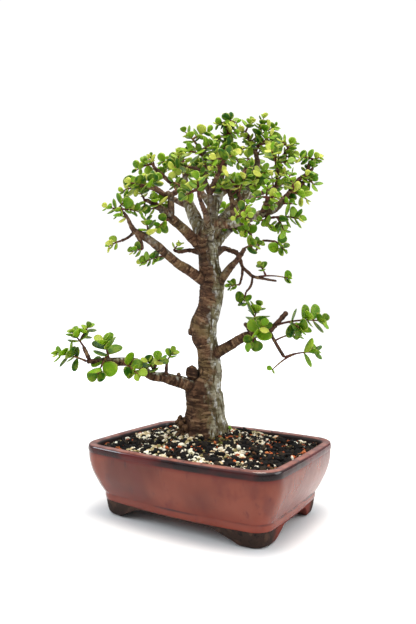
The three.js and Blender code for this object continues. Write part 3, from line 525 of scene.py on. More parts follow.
pot = {
    "halfLength": 126, "halfWidth": 91.5, "longBow": 5.5, "shortBow": 1.5,
    "cornerSteps": 14, "sideSteps": 18,
    "outside": [  # height, inset, corner radius
        (17.6, 18.1, 20), (17.9, 17.2, 20.5), (18.8, 16.6, 21), (21.5, 16.2, 21), (24.0, 16.1, 21),
        (24.9, 16.1, 21), (25.6, 16.3, 21), (26.3, 16.0, 21), (27.3, 15.3, 21), (30, 13.7, 22),
        (34, 11.5, 23), (38, 9.6, 24), (42, 7.8, 25), (46, 6.1, 25.5), (50, 4.6, 26), (55, 3.1, 26.5),
        (60, 1.9, 27), (66, 1.0, 27), (71, 0.7, 27), (74.3, 0.75, 27), (75.1, 0.7, 27), (76.2, 0.3, 27),
        (78.0, 0.1, 27), (80.0, 0.1, 27), (81.6, 0.4, 27), (82.8, 1.1, 26.5), (83.6, 2.0, 26)],
    "rim": [(84.0, 3.2, 25), (84.1, 5.2, 23), (84.0, 7.4, 21), (83.4, 9.2, 19.5), (82.2, 10.4, 18.5),
            (80.5, 11.1, 18)],
    "inside": [(72, 12.0, 17), (60, 13, 17), (40, 20, 16), (26, 29, 14), (24, 32, 14)],
    "foot": [(0, 24.6, 15), (0.4, 23.2, 16), (1.4, 21.8, 16.5), (3, 20.6, 17), (7, 19.4, 17.5),
             (12, 18.4, 18.5), (18.2, 17.5, 19)],
    "drain": {"offset": 58, "radius": 8, "sides": 28, "heights": (10, 30)},
    # Between which heights the lip, the rim and the crease above the base band are. The crease is
    # painted dark as shade.
    "lipFrom": (74.2, 75.6), "lipTo": (82.6, 83.9), "rimFrom": 83.4, "innerEdge": 82.5,
    "crease": 25.8, "creaseFade": (0.5, 1.6),
}
foot = {
    "thickness": 21, "innerCorner": 8, "innerSteps": (6, 4),
    # The arches between the feet: half the opening and its height, from the floor up.
    "longArch": [(80, 0), (77.5, 1.6), (74, 4), (70, 6.2), (66, 8), (61.5, 10), (57, 12), (53, 14),
                 (50.5, 15.2), (47, 16), (40, 16.4)],
    "shortArch": [(46, 0), (44.6, 1.6), (42, 4), (39.6, 6.2), (37.4, 8), (35.2, 10), (33, 12),
                  (31, 14), (29, 15.2), (26, 16), (20, 16.4)],
    "longReach": 98, "shortReach": 135,
    "bevel": 1.2, "bevelSteps": 3, "bevelAngle": 38, "sharpAngle": 50,
    "glazedAcross": (52, 42), "glazedAlong": (98, 104),  # the short sides carry some glaze
}


def potRing(height, inset, radius, cornerSteps=pot["cornerSteps"], sideSteps=pot["sideSteps"]):
    halves = (pot["halfWidth"] - inset, pot["halfLength"] - inset)
    bows = (pot["longBow"], pot["shortBow"])
    ring = []
    for corner in range(4):
        across, along = (halves[1], halves[0]) if corner % 2 == 0 else halves
        places = []
        for i in range(cornerSteps + 1):
            angle = i / cornerSteps * math.pi / 2
            places.append((across - radius + radius * math.cos(angle),
                           along - radius + radius * math.sin(angle)))
        for i in range(1, sideSteps + 1):
            place = 1 - 2 * i / (sideSteps + 1)
            out = bows[corner % 2] * (1 - place * place)
            places.append((place * (across - radius), along + out))
        c, s = math.cos(corner * math.pi / 2), math.sin(corner * math.pi / 2)
        ring += [(c * x - s * y, s * x + c * y, height) for x, y in places]
    return np.array(ring)


def circleRing(x, y, z, radius, count):
    angles = [2 * math.pi * i / count for i in range(count)]
    return [(x + radius * math.cos(a), y + radius * math.sin(a), z) for a in angles]


def cutter(first, last):  # a bar between two outlines
    return newMesh("cutter", *loft([np.array(first), np.array(last)]))


def archCutter(profile, reach, alongLength):
    half = [(profile[0][0], -1), *profile]
    section = half + [(-out, tall) for out, tall in reversed(half)]
    ends = [[(x, y, z) for x, z in section] for y in (reach, -reach)]
    if alongLength:
        ends = [[(-y, x, z) for x, y, z in end] for end in ends]
    return cutter(*ends)


def cut(piece, tools):
    for tool in tools:
        change = piece.modifiers.new("cut", "BOOLEAN")
        change.operation, change.solver, change.object = "DIFFERENCE", "EXACT", tool
    settle(piece)
    for tool in tools:
        bpy.data.objects.remove(tool)


# Looks are a colour, its strength, and clouds: scale, detail, from, to and upright.
glaze = {
    "shader": {"Coat Roughness": 0.04, "Specular IOR Level": 0.15},
    "wallRoughness": (0.24,) * 3, "rimRoughness": (0.5,) * 3,
    # From one height to another, in metres, and from one weight to another.
    "wallCoat": (0.071, 0.075, 0.34, 0.1), "lipCoat": (0.0795, 0.082, 0, 0.7),
    "lipShine": (30, 2, 0.3, 0.5),
    "dark": shade(88, 29, 14), "red": (shade(124, 56, 37), 1, 13, 3, 0.36, 0.66, 0.7),
    "patches": (shade(92, 30, 22), 0.55, 34, 3, 0.52, 0.64, 0.6),
    "runs": (shade(72, 24, 24), 0.5, 120, 2, 0.62, 0.74, 0.3),
    "low": (shade(134, 54, 38), 0.5), "lowHeight": (0.020, 0.042, 1, 0),
    "drips": (shade(46, 18, 20), 0.8, 210, 2, 0.54, 0.68, 0.1),
    "dripPatches": (22, 2, 0.46, 0.6), "dripHeight": (0.060, 0.074),
    "underLip": (shade(92, 28, 26), 0.55), "underLipHeight": (0.069, 0.0755),
    # Painted shade: the crease above the base band, darkened in broken patches.
    "crease": (shade(36, 14, 22), 0.85, 16, 2, 0.48, 0.64),
    "lipRed": shade(84, 25, 24), "lipDark": (shade(24, 11, 13), 1, 11, 3, 0.46, 0.62),
    "rimPale": shade(148, 92, 78), "rimWorn": (shade(110, 62, 54), 1, 70, 4, 0.4, 0.65),
    "rimSpots": (shade(70, 36, 34), 1, 160, 3, 0.62, 0.7),
    "inside": shade(36, 24, 24),
    "waves": {"Scale": 48.0, "Detail": 2.0}, "waveHeight": 0.0008,
}
clay = {
    "shader": {"Roughness": 0.8, "Specular IOR Level": 0.2},
    "tones": (shade(50, 36, 30), shade(28, 20, 18), shade(72, 52, 42)), "grain": (320.0, 0.0004),
    "glazed": shade(110, 48, 38),
}


def glazeMaterial():
    material, tree, shader = newMaterial("redBrownGlaze", glaze["shader"])
    place = objectPlace(tree)
    tall = node(tree, "SeparateXYZ", Vector=place).outputs["Z"]
    onRim = attribute(tree, "rim")

    def height(name):
        return spread(tree, tall, *glaze[name])

    lipCoat = times(tree, height("lipCoat"), clouds(tree, *glaze["lipShine"]))
    feed(tree, shader.inputs["Coat Weight"],
         worked(tree, "Math", "ADD", lipCoat, height("wallCoat")))
    tone = laid(tree, glaze["dark"], glaze["red"])
    tone = laid(tree, tone, glaze["patches"])
    tone = laid(tree, tone, glaze["runs"])
    tone = laid(tree, tone, glaze["low"], height("lowHeight"))
    tone = laid(tree, tone, glaze["drips"], clouds(tree, *glaze["dripPatches"]), height("dripHeight"))
    tone = laid(tree, tone, glaze["underLip"], height("underLipHeight"))
    # Painted shade in the crease above the base band.
    tone = laid(tree, tone, glaze["crease"], attribute(tree, "crease"))
    tone = mixed(tree, attribute(tree, "lip"), tone, laid(tree, glaze["lipRed"], glaze["lipDark"]))
    rim = laid(tree, laid(tree, glaze["rimPale"], glaze["rimWorn"]), glaze["rimSpots"])
    tone = mixed(tree, onRim, tone, rim)
    tone = mixed(tree, attribute(tree, "inside"), tone, glaze["inside"])
    feed(tree, shader.inputs["Base Color"], tone)
    feed(tree, shader.inputs["Roughness"],
         mixed(tree, onRim, glaze["wallRoughness"], glaze["rimRoughness"]))
    waves = node(tree, "TexNoise", Vector=place, **glaze["waves"]).outputs["Fac"]
    bumped(tree, shader, waves, glaze["waveHeight"])
    return material


def clayMaterial():
    material, tree, shader = newMaterial("bareClay", clay["shader"])
    tone = speckled(tree, shader, clay["tones"], *clay["grain"])
    tone = mixed(tree, attribute(tree, "glazed"), tone, clay["glazed"])
    feed(tree, shader.inputs["Base Color"], tone)
    return material


def makePotBody():
    rows = pot["outside"] + pot["rim"] + pot["inside"]
    rings = [potRing(*row) for row in rows]
    tall = np.array([row[0] for row in rows])
    onWall = np.arange(len(rows)) < len(pot["outside"])
    onInside = np.arange(len(rows)) >= len(rows) - len(pot["inside"])
    marks = {
        "lip": onWall * smoothStep(*pot["lipFrom"], tall) * (1 - smoothStep(*pot["lipTo"], tall)),
        "rim": ~onWall & ~onInside | onWall & (tall > pot["rimFrom"]),
        "crease": onWall * (1 - smoothStep(*pot["creaseFade"], np.abs(tall - pot["crease"]))),
        "inside": onInside | ~onWall & (tall < pot["innerEdge"]),
    }
    values = {key: np.append(np.repeat(data * 1.0, len(rings[0])), [0, data[-1]])
              for key, data in marks.items()}
    body = addPiece("potBody", *loft(rings), glazeMaterial(), "glaze", values, replaces=("pot",))
    drain = pot["drain"]
    cut(body, [cutter(*[circleRing(side * drain["offset"], 0, height, drain["radius"], drain["sides"])
                        for height in drain["heights"]]) for side in (-1, 1)])


def makePotFeet():
    feet = addPiece("potFeet", *loft([potRing(*row) for row in pot["foot"]]), clayMaterial(),
                    "glaze", smooth=False)
    top, topInset, _ = pot["foot"][-1]
    inner = (topInset + foot["thickness"], foot["innerCorner"], *foot["innerSteps"])
    cut(feet, [cutter(potRing(-1, *inner), potRing(top + 1, *inner)),
               archCutter(foot["longArch"], foot["longReach"], False),
               archCutter(foot["shortArch"], foot["shortReach"], True)])
    bevel = feet.modifiers.new("bevel", "BEVEL")
    bevel.width, bevel.segments = foot["bevel"] * mm, foot["bevelSteps"]
    bevel.limit_method, bevel.angle_limit = "ANGLE", math.radians(foot["bevelAngle"])
    settle(feet)
    setSmooth(feet.data)
    feet.data.set_sharp_from_angle(angle=math.radians(foot["sharpAngle"]))
    places = np.abs(meshPlaces(feet.data))
    glazed = (smoothStep(*foot["glazedAcross"], places[:, 1])
              * smoothStep(*foot["glazedAlong"], places[:, 0]))
    setValues(feet.data, {"glazed": glazed})


wood = {
    "thick": 3.3,  # limbs at least this thick are fused into one skin
    "leftOut": ("leftKnob", "arcKnob"),  # the first is made as the knob
    "step": 2.5, "sides": (28, 14), "sidesFrom": 12,
    "grown": (1.035, 0.3),  # makes up for what the smoothing takes off
    "voxel": 1.25, "softenTimes": 3, "soften": 0.5,
    "lumps": 2.2, "lumpsFor": 14, "lumpsRange": (0.12, 1.2), "lumpNoise": (0.085, 3, 21),
    "wrinkles": 0.84, "wrinklesLost": 0.6, "wrinkleScale": (0.5, 0.05), "wrinkleSeed": 23,
    "splits": 0.6, "splitShare": (0.3, 0.7), "splitNoise": ((0.22, 0.22, 0.05), 2, 25),
    "pits": 1.0, "pitsFor": 8, "pitsRange": (0.4, 1), "pitMost": 0.25, "pitNoise": (0.34, 2, 27),
    # The folds where limbs meet are painted as shade: less grey there, and darkened as the rings are.
    "fold": (1.5, 0.1), "foldFrom": (110, 130), "foldShadeOnGrey": 0.8, "foldShade": 1.7,  # where limbs meet
    "hollowDepth": 1.6, "foldDepth": 0.7,
    "batch": 4000,  # so many points of the skin are measured at a time
    # How grey each limb's bark is, where it isn't the trunk's own mixture. Any number but nought
    # takes a limb's grey side upwards.
    "greyness": {"longLeftLimb": -0.55, "longLeftStub": -1, "lowLeftLimb": 0.0001, "lowRightLimb": -0.4,
                 "lowRightStub": -0.9, "lowRightDrop": -0.8, "leftKnob": -1.5, "upperLeftLimb": -0.45,
                 "arcLimb": -0.25, "rearRightLimb": -0.3, "cutRightLimb": 0.25, "rightLoop": -0.3,
                 "hangingTwig": -0.3, "rearLeftLimb": -0.2, "centreLimb": -0.05},
}
roots = {
    "seed": 17, "count": 6, "chance": 0.5, "size": (0.8, 0.4),
    "points": [(10, 114, 12), (17, 98, 10), (28, 76, 6)],  # out, up, radius
}
twig = {
    "step": 1.4, "sides": 9, "tip": 0.55,
    "nodeEvery": 6.5, "nodeShift": 0.37, "nodeWidth": 0.015, "nodeRise": 0.16,
    "sway": 0.16, "swayScale": 0.4, "swayShift": 3.3, "swaySeed": 31,
    "rough": 0.6, "roughNoise": (0.5, 2, 33),
}
knob = {
    # The hollow round the knob and the knob's side that meets the trunk are painted dark as shade.
    "place": (-17.2, 163.4, 11), "radius": 8.1, "rounds": 4, "bumps": 0.7, "bumpNoise": (1.7, 3, 35),
    "shadedHollow": (10.8, 7.6), "pitFrom": (157.5, 160.5), "pitTo": 172,  # the hollow of the trunk round it
    "shadeFrom": (0.45, 0.95), "shadeDrop": (0, 0, 0.25),  # on the side that meets the trunk
    "ring": (0.5, 0.66), "ringStrength": 0.4, "ringSteps": 8, "ringNoise": ((2.2, 2.2, 3.5), 2, 37),
}
# Looks are a colour, its strength, and clouds: scale, detail, from, to and upright.
bark = {
    "shader": {"Roughness": 0.85, "Specular IOR Level": 0.12},
    "lines": {"Scale": 420.0, "Detail": 3.0, "Roughness": 0.6}, "lineSqueeze": (0.16, 0.16, 0.16),
    "darkLine": (0.5, 0.6), "paleLine": (0.45, 0.36),
    "brown": shade(108, 78, 58),
    "brownLooks": [(shade(66, 46, 35), 1, 90, 6, 0.38, 0.66), (shade(116, 94, 64), 1, 30, 4, 0.5, 0.66),
                   (shade(44, 28, 22), 0.7, 240, 5, 0.5, 0.7)],
    "brownLine": (shade(38, 24, 18), 0.75), "brownRidge": (shade(156, 124, 94), 0.65),
    # The ring colour also paints the shade in the folds where limbs meet.
    "brownRingAndFoldShade": (shade(48, 31, 24), 0.45),
    "grey": shade(164, 158, 136),
    "greyLooks": [(shade(120, 112, 82), 1, 60, 6, 0.42, 0.6),
                  (shade(212, 212, 206), 0.9, 170, 4, 0.52, 0.64, 0.6),
                  (shade(74, 64, 40), 1, 190, 5, 0.52, 0.62, 0.22)],
    "greyLine": (shade(80, 68, 48), 0.7),
    "twig": shade(98, 70, 56),
    "twigLooks": [(shade(54, 36, 30), 1, 240, 3, 0.4, 0.62),
                  (shade(134, 108, 82), 1, 120, 3, 0.55, 0.66)],
    # Near-black painted shade in the hollow round the knob.
    "hollow": shade(20, 12, 10),
    "fine": {"Scale": 480.0, "Detail": 4.0, "Roughness": 0.7}, "lineDepth": 0.9, "relief": (0.0014, 0.9),
    # Where the bark is grey: on the side that faces this way, across and near, and in the crown.
    "greySide": (0.97, 0.24), "sideShare": 0.3, "greyFrom": (0.24, 0.76), "patch": 0.6, "spots": 0.9,
    "crownFrom": (290, 340), "crownGrey": 0.8, "crownSpread": (-0.65, -0.1), "crownPatch": 1.2,
    "crownSide": 0.15, "greyRadius": (1.5, 4.5), "oldRadius": (2.4, 5.5), "oldSway": 2,
    "ring": (0.5, 0.72), "ringLost": (0.75, 0.6),  # where the bark is grey, and in the crown
    # Noises are a scale, along and round a limb for the rings, the octaves and a seed.
    "patchNoise": ((0.06, 0.06, 0.03), 3, 5), "spotNoise": ((0.3, 0.3, 0.2), 2, 15),
    "oldNoise": (0.06, 2, 9), "ringScale": (0.62, 0.03), "ringSeed": 11,
}


def rootLimbs():
    draw = drawer(roots["seed"])
    made = []
    for i in range(roots["count"]):
        angle = 2 * math.pi * (i + roots["chance"] * draw()) / roots["count"]
        size = roots["size"][0] + roots["size"][1] * draw()
        made.append([(size * out * math.cos(angle), up, size * out * math.sin(angle), size * radius)
                     for out, up, radius in roots["points"]])
    return made


def allLimbs():
    return [*limbs.items(), *enumerate(rootLimbs())]


# Points and radii along a smooth curve through a limb's points, about a step apart.
def splined(points, step):
    p = np.column_stack([placed([q[:3] for q in points]), [q[3] for q in points]])
    p = np.vstack([2 * p[0] - p[1], p, 2 * p[-1] - p[-2]])
    out = []
    for i in range(1, len(p) - 2):
        a, b, c, d = p[i - 1:i + 3]
        count = max(2, int(np.linalg.norm(c[:3] - b[:3]) / step))
        for t in np.arange(count) / count:
            out.append(0.5 * (2 * b + (c - a) * t + (2 * a - 5 * b + 4 * c - d) * t * t
                              + (3 * b - a - 3 * c + d) * t ** 3))
    out.append(p[-2])
    return np.array(out)


def walked(path):
    return np.concatenate([[0], np.cumsum(np.linalg.norm(np.diff(path[:, :3], axis=0), axis=1))])


# Points along every limb, with radius, distance walked, greyness and the limb's number.
def centrelines():
    rows = []
    for name, points in allLimbs():
        path = splined(points, wood["step"])
        numbers = (wood["greyness"].get(name, 0.0), len(rows))
        rows.append(np.column_stack([path, walked(path), np.tile(numbers, (len(path), 1))]))
    return np.concatenate(rows)


def barkMaterial():
    material, tree, shader = newMaterial("bark", bark["shader"])
    place = objectPlace(tree)
    along = node(tree, "CombineXYZ", X=times(tree, attribute(tree, "along"), mm)).outputs[0]
    squeezed = worked(tree, "VectorMath", "MULTIPLY_ADD", place, bark["lineSqueeze"], along)
    lines = node(tree, "TexNoise", Vector=squeezed, **bark["lines"]).outputs["Fac"]
    darkLine, paleLine = spread(tree, lines, *bark["darkLine"]), spread(tree, lines, *bark["paleLine"])

    def looked(name):
        tone = bark[name]
        for look in bark[name + "Looks"]:
            tone = laid(tree, tone, look)
        return tone

    brown = laid(tree, looked("brown"), bark["brownLine"], darkLine)
    brown = laid(tree, brown, bark["brownRidge"], paleLine)
    # The ring attribute holds the bark's rings and the painted shade of the folds where limbs meet.
    brown = laid(tree, brown, bark["brownRingAndFoldShade"], attribute(tree, "ring"))
    grey = laid(tree, looked("grey"), bark["greyLine"], darkLine)
    tone = mixed(tree, attribute(tree, "pale"), brown, grey)
    tone = mixed(tree, attribute(tree, "age"), looked("twig"), tone)
    # Painted shade: the hollow round the knob, near-black.
    tone = mixed(tree, attribute(tree, "shadedHollow"), tone, bark["hollow"])
    feed(tree, shader.inputs["Base Color"], tone)
    fine = node(tree, "TexNoise", Vector=place, **bark["fine"]).outputs["Fac"]
    relief = worked(tree, "Math", "SUBTRACT", fine, times(tree, lines, bark["lineDepth"]))
    bumped(tree, shader, relief, *bark["relief"])
    return material


def ringPlaces(along, verts, scales):  # places that run fast along a limb and slowly across
    return np.column_stack([along * scales[0], verts[:, 0] * scales[1], verts[:, 1] * scales[1]])


# How pale, old and ringed the bark is, point by point, and the painted shade of the hollow round the
# knob.
def barkValues(verts, normals, radius, along, greyness):
    across, near = bark["greySide"]
    facing = normals @ unit(rightWay * across + nearWay * near)
    share = bark["sideShare"]
    facing = np.where(greyness == 0, facing, share * facing + (1 - share) * normals[:, 2])
    patch, fine = swayed(verts, *bark["patchNoise"]), swayed(verts, *bark["spotNoise"])
    crown = smoothStep(*bark["crownFrom"], verts[:, 2])
    aside = facing + bark["patch"] * patch + bark["spots"] * fine + greyness
    above = bark["crownPatch"] * patch + fine + bark["crownSide"] * facing + greyness
    pale = smoothStep(*bark["greyFrom"], aside)
    pale = np.maximum(pale, crown * bark["crownGrey"] * smoothStep(*bark["crownSpread"], above))
    pale *= smoothStep(*bark["greyRadius"], radius)
    age = smoothStep(*bark["oldRadius"], radius + bark["oldSway"] * swayed(verts, *bark["oldNoise"]))
    ring = layeredNoise(ringPlaces(along, verts, bark["ringScale"]), 1, 2, bark["ringSeed"])
    onGrey, inCrown = bark["ringLost"]
    ring = smoothStep(*bark["ring"], ring) * (1 - onGrey * pale) * (1 - inCrown * crown)
    # Painted shade in the hollow of the trunk round the knob.
    away = np.linalg.norm(verts - placed(knob["place"]), axis=1)
    tall = verts[:, 2]
    shadedHollow = smoothStep(*knob["shadedHollow"], away) * smoothStep(*knob["pitFrom"], tall) * (tall < knob["pitTo"])
    return {"pale": pale, "age": age, "ring": ring, "shadedHollow": shadedHollow, "along": along}


# For each place, the number of the nearest row, and how far apart its two nearest limbs are.
def nearestRows(places, rows):
    nearest, apart = np.empty(len(places), int), np.empty(len(places))
    firsts = np.flatnonzero(np.diff(rows[:, 6], prepend=-1))
    for start in range(0, len(places), wood["batch"]):
        some = slice(start, start + wood["batch"])
        gap = np.linalg.norm(places[some, None] - rows[None, :, :3], axis=2) - rows[:, 3]
        two = np.partition(np.minimum.reduceat(gap, firsts, axis=1), 1, axis=1)
        nearest[some], apart[some] = gap.argmin(1), two[:, 1] - two[:, 0]
    return nearest, apart


def roughened(places, normals, radius, along, values, fold):
    stout = np.clip(radius / wood["lumpsFor"], *wood["lumpsRange"])
    thin = np.clip(radius / wood["pitsFor"], *wood["pitsRange"])
    pale = values["pale"]
    lumps = swayed(places, *wood["lumpNoise"]) * wood["lumps"] * stout
    wrinkle = softNoise(ringPlaces(along, places, wood["wrinkleScale"]), 1, wood["wrinkleSeed"]) - 0.5
    split = np.clip(1 - np.abs(swayed(places, *wood["splitNoise"])) * 4, 0, 1)
    pits = np.clip(swayed(places, *wood["pitNoise"]), -wood["pitMost"], wood["pitMost"]) * wood["pits"]
    onBrown, more = wood["splitShare"]
    move = (lumps + pits * thin + wrinkle * wood["wrinkles"] * (1 - wood["wrinklesLost"] * pale) * thin
            - split * wood["splits"] * stout * (onBrown + more * pale)
            - wood["hollowDepth"] * values["shadedHollow"] - wood["foldDepth"] * fold)
    return places + normals * move[:, None]


def makeSkin(thick, material):
    verts, faces = joined(thick)
    skin = addPiece("trunkAndLimbs", verts, faces, material, "bark", replaces=("trunk",))
    remesh = skin.modifiers.new("skin", "REMESH")
    remesh.mode, remesh.voxel_size = "VOXEL", wood["voxel"] * mm
    soften = skin.modifiers.new("soften", "SMOOTH")
    soften.iterations, soften.factor = wood["softenTimes"], wood["soften"]
    settle(skin)
    mesh = skin.data
    normals = np.empty(len(mesh.vertices) * 3)
    mesh.vertices.foreach_get("normal", normals)
    normals = normals.reshape(-1, 3)
    places = meshPlaces(mesh)
    rows = centrelines()
    nearest, apart = nearestRows(places, rows)
    radius, along, greyness = rows[nearest, 3:6].T
    values = barkValues(places, normals, radius, along, greyness)
    # Painted shade in the folds where limbs meet: less grey bark and the dark of the rings.
    fold = smoothStep(*wood["fold"], apart) * smoothStep(*wood["foldFrom"], places[:, 2])
    values["pale"] = values["pale"] * (1 - wood["foldShadeOnGrey"] * fold)
    values["ring"] = np.maximum(values["ring"], wood["foldShade"] * fold)
    places = roughened(places, normals, radius, along, values, fold)
    mesh.vertices.foreach_set("co", inFrame(places).ravel())
    setValues(mesh, values)
    setSmooth(mesh)
    dress(skin, material)
    print("limbs fused,", len(mesh.polygons), "faces")


def makeTwigs(twigs, material):
    parts, values = [], []
    for order, (name, points) in enumerate(twigs):
        path = splined(points, twig["step"])
        length = walked(path)
        phase = (length / twig["nodeEvery"] + twig["nodeShift"] * order) % 1
        nodes = np.exp(-(phase - 0.5) ** 2 / twig["nodeWidth"])
        line = np.zeros((len(path), 3)) + (0, order * twig["swayShift"], 0)
        line[:, 0] = length * twig["swayScale"]
        sway = softNoise(line, 1, twig["swaySeed"]) - 0.5
        radii = path[:, 3] * (1.0 + twig["nodeRise"] * nodes + twig["sway"] * sway)
        radii[-1] *= twig["tip"]
        verts, faces = loft(tubeRings(path[:, :3], radii, twig["sides"]))
        full = np.vstack([np.repeat(np.column_stack([path, length]), twig["sides"], axis=0),
                          [*path[0], 0], [*path[-1], length[-1]]])
        out = verts - full[:, :3]
        out /= np.maximum(np.linalg.norm(out, axis=1, keepdims=True), 1e-6)
        greyness = wood["greyness"].get(name, 0.0)
        values.append(barkValues(verts, out, full[:, 3], full[:, 4], greyness))
        rough = swayed(verts, *twig["roughNoise"]) * twig["rough"]
        parts.append((verts + out * rough[:, None], faces))
    verts, faces = joined(parts)
    values = {key: np.concatenate([each[key] for each in values]) for key in values[0]}
    addPiece("twigs", verts, faces, material, "bark", values)
    print("twigs made,", len(faces), "faces")


# The old round knob that sits in a hollow of the trunk above the lowest limb.
def makeKnob(material):
    ball, faces = ballShape(knob["rounds"])
    bumps = 1 + knob["bumps"] * swayed(ball, *knob["bumpNoise"])
    verts = placed(knob["place"]) + ball * bumps[:, None] * knob["radius"]
    # Painted shade on the knob's side that meets the trunk.
    dark = smoothStep(*knob["shadeFrom"], ball @ unit(rightWay - knob["shadeDrop"]))
    ring = smoothStep(*knob["ring"], layeredNoise(ball, *knob["ringNoise"])) * knob["ringStrength"]
    values = {"pale": np.zeros(len(ball)), "age": np.ones(len(ball)), "ring": ring, "shadedHollow": dark,
              "along": ball[:, 2] * knob["ringSteps"]}
    addPiece("knob", verts, faces, material, "bark", values)
    print("knob made")


def makeWood():
    thick, twigs = [], []
    for name, points in allLimbs():
        if name in wood["leftOut"]:
            continue
        last = max([i for i, point in enumerate(points) if point[3] >= wood["thick"]], default=0)
        if last == 0 or points[0][3] < wood["thick"]:
            twigs.append((name, points))
            continue
        path = splined(points[:last + 1], wood["step"])
        scale, extra = wood["grown"]
        sides = wood["sides"][0 if points[1][3] > wood["sidesFrom"] else 1]
        thick.append(loft(tubeRings(path[:, :3], path[:, 3] * scale + extra, sides)))
        if last + 1 < len(points):
            twigs.append((name, points[last - 1:]))
    material = barkMaterial()
    makeSkin(thick, material)
    makeTwigs(twigs, material)
    makeKnob(material)


stalk = {
    "radius": 1.15, "forLeaf": 11.5,  # the stem of a shoot with leaves this long
    "arch": 0.12, "aside": (0.3, 0.2, 1), "sidesFrom": 0.3, "taper": 0.55, "grown": 1.35, "tip": 0.6,
    "sides": 7, "step": 2.2, "leastRings": 6,
    "nodeEvery": 5.5, "nodeShift": 0.3, "nodeWidth": 0.02, "girth": (0.92, 0.25),
    "clear": 1, "ownLeaves": 3.5,  # leaves with roots this near a stem's middle belong to it
}
leaf = {
    "most": 6000, "tries": 6, "swing": 0.25, "width": 0.82, "apart": 1.9, "near": 3,
    "woodClear": 1.3, "woodShares": (0, 0.25, 0.5, 0.75), "stemShares": np.arange(1, 11) / 10,
    "tipGap": 1.08, "leastShare": 0.12,  # along the stem, from its tip and from its root
    "growth": (0.68, 0.2, 1.12),  # a tip leaf's size, what each pair below adds, and the most
    "upwards": 0.15, "lift": 0.55, "liftFall": (1.3, 0.28, 4), "liftStep": 0.1, "liftChance": 0.5,
    "angleChance": 0.7,
    "sizeChance": (0.82, 0.4), "toneFall": 0.3,
    "room": (0.55, 0.62, 1.25),  # where a leaf's middle is, and how far it reaches each way
    # How the leaves sit on each kind of shoot: size, spacing, pairs on the main and side stems.
    "low": {"size": 1.1, "spacing": 0.38, "pairs": (4, 3), "squeeze": 0.54,
            "rise": (0.3, 1.4), "turned": (0.1, 0.7)},
    "crown": {"size": 0.98, "spacing": 0.5, "pairs": (6, 5), "squeeze": 0.56,
              "rise": (0.5, 2.4), "turned": (0, 0.3)},
    "front": {"size": 0.9, "spacing": 0.5, "pairs": (3, 2), "squeeze": 0.9,
              "rise": (0.4, 1.2), "turned": (0.3, 0.8), "young": -0.6},
    "fill": {"spacing": 0.55, "pairs": 3, "squeeze": 0.6, "rise": (0.5, 2.4), "turned": (0, 0.4)},
    "frontShoots": ("frontTip", "frontRightTip", "frontHighTip", "rightFrontTip", "leftCrotch",
                    "leftRiserTip"),
    # Shoots that differ from their kind: size, pairs on the main and side stems.
    "own": {"farLeftTip": (1.05, 6, 3), "lowLeftRise": (1.0, 4, 4), "lowLeftTuft": (1.2, 7, 4),
            "lowLeftHang": (1.0, 4, 2), "lowLeftMid": (0.95, 4, 3), "lowRightReach": (1.1, 5, 5),
            "lowRightTuft": (1.1, 5, 3), "lowRightFront": (0.88, 4, 3), "lowRightDropTip": (1.35, 3, 1),
            "loopTip": (0.95, 2, 3), "lowLeftPostTop": (0.95, 3, 2), "loopFootTip": (1.0, 3, 2),
            "lowRightDropMid": (1.0, 3, 2), "loopDropTip": (1.0, 3, 2), "frontRightTip": (0.75, 3, 2),
            "rightFrontTip": (0.85, 3, 2)},
    "sideSize": {"lowRightDropTip": 0.6, "loopTip": 0.85},
    # Each piece of leaves starts at this shoot of the table, and its leaves are this bright.
    "regions": {"leavesLow": ("farLeftTip", 0.66), "leavesRight": ("arcTip", 0.92),
                "leavesTop": ("leaderTip", 0.92), "leavesBack": ("longLeftLow", 0.92)},
    "seedStep": 7919, "shapeSeed": 613, "tone": (0.45, 1.5, -0.1),
}
blade = {  # the shape of one leaf
    "outline": [(0.0, 0.09), (0.06, 0.2), (0.18, 0.52), (0.34, 0.84), (0.52, 1.0), (0.69, 1.0),
                (0.84, 0.84), (0.935, 0.6), (0.985, 0.3)],  # along, half width
    "section": [(-1, 0), (-0.55, 0.55), (0, 0.75), (0.55, 0.55), (1, 0), (0.6, -0.75), (0, -1),
                (-0.6, -0.75)],  # across, up
    "cup": 0.7, "cupMiddle": 0.35, "upperShare": 0.35, "rootPlump": 0.45, "fattest": 0.9,
    "ends": (-0.02, 1.0, 0.1),  # the root, the tip and the tip's height
    "thickness": 1.6, "fat": (0.8, 0.35), "fatFor": 10, "curl": 0.16, "curlMiddle": 0.45,
    "grown": 1.06, "halfWidth": 0.47, "widthChance": (0.9, 0.2),
}
sprout = {"root": (28, 84, 8), "tip": (30, 95, 10), "leaf": 5, "radius": 0.5, "pairs": 2, "seed": 31}
extra = {  # short extra stems along the thinner limbs, none past the reach of the shoots
    "seed": 907, "leafSeed": 4021, "limbTip": 3.2, "thickest": 4.2, "above": 335, "step": 2.0,
    "every": 5.8, "length": (10, 22), "leaf": (7.5, 10.5), "stem": 0.9,
    "along": 0.5, "up": 0.35, "outward": 0.4, "middle": (10, 385, 0), "reach": 34, "past": 2,
    "thinLeft": (-12, 0.45),  # left of this, this share of them is left out
    "bareWood": {"across": (-50, 46), "below": 388, "near": -12},  # where limbs show between the leaves
}
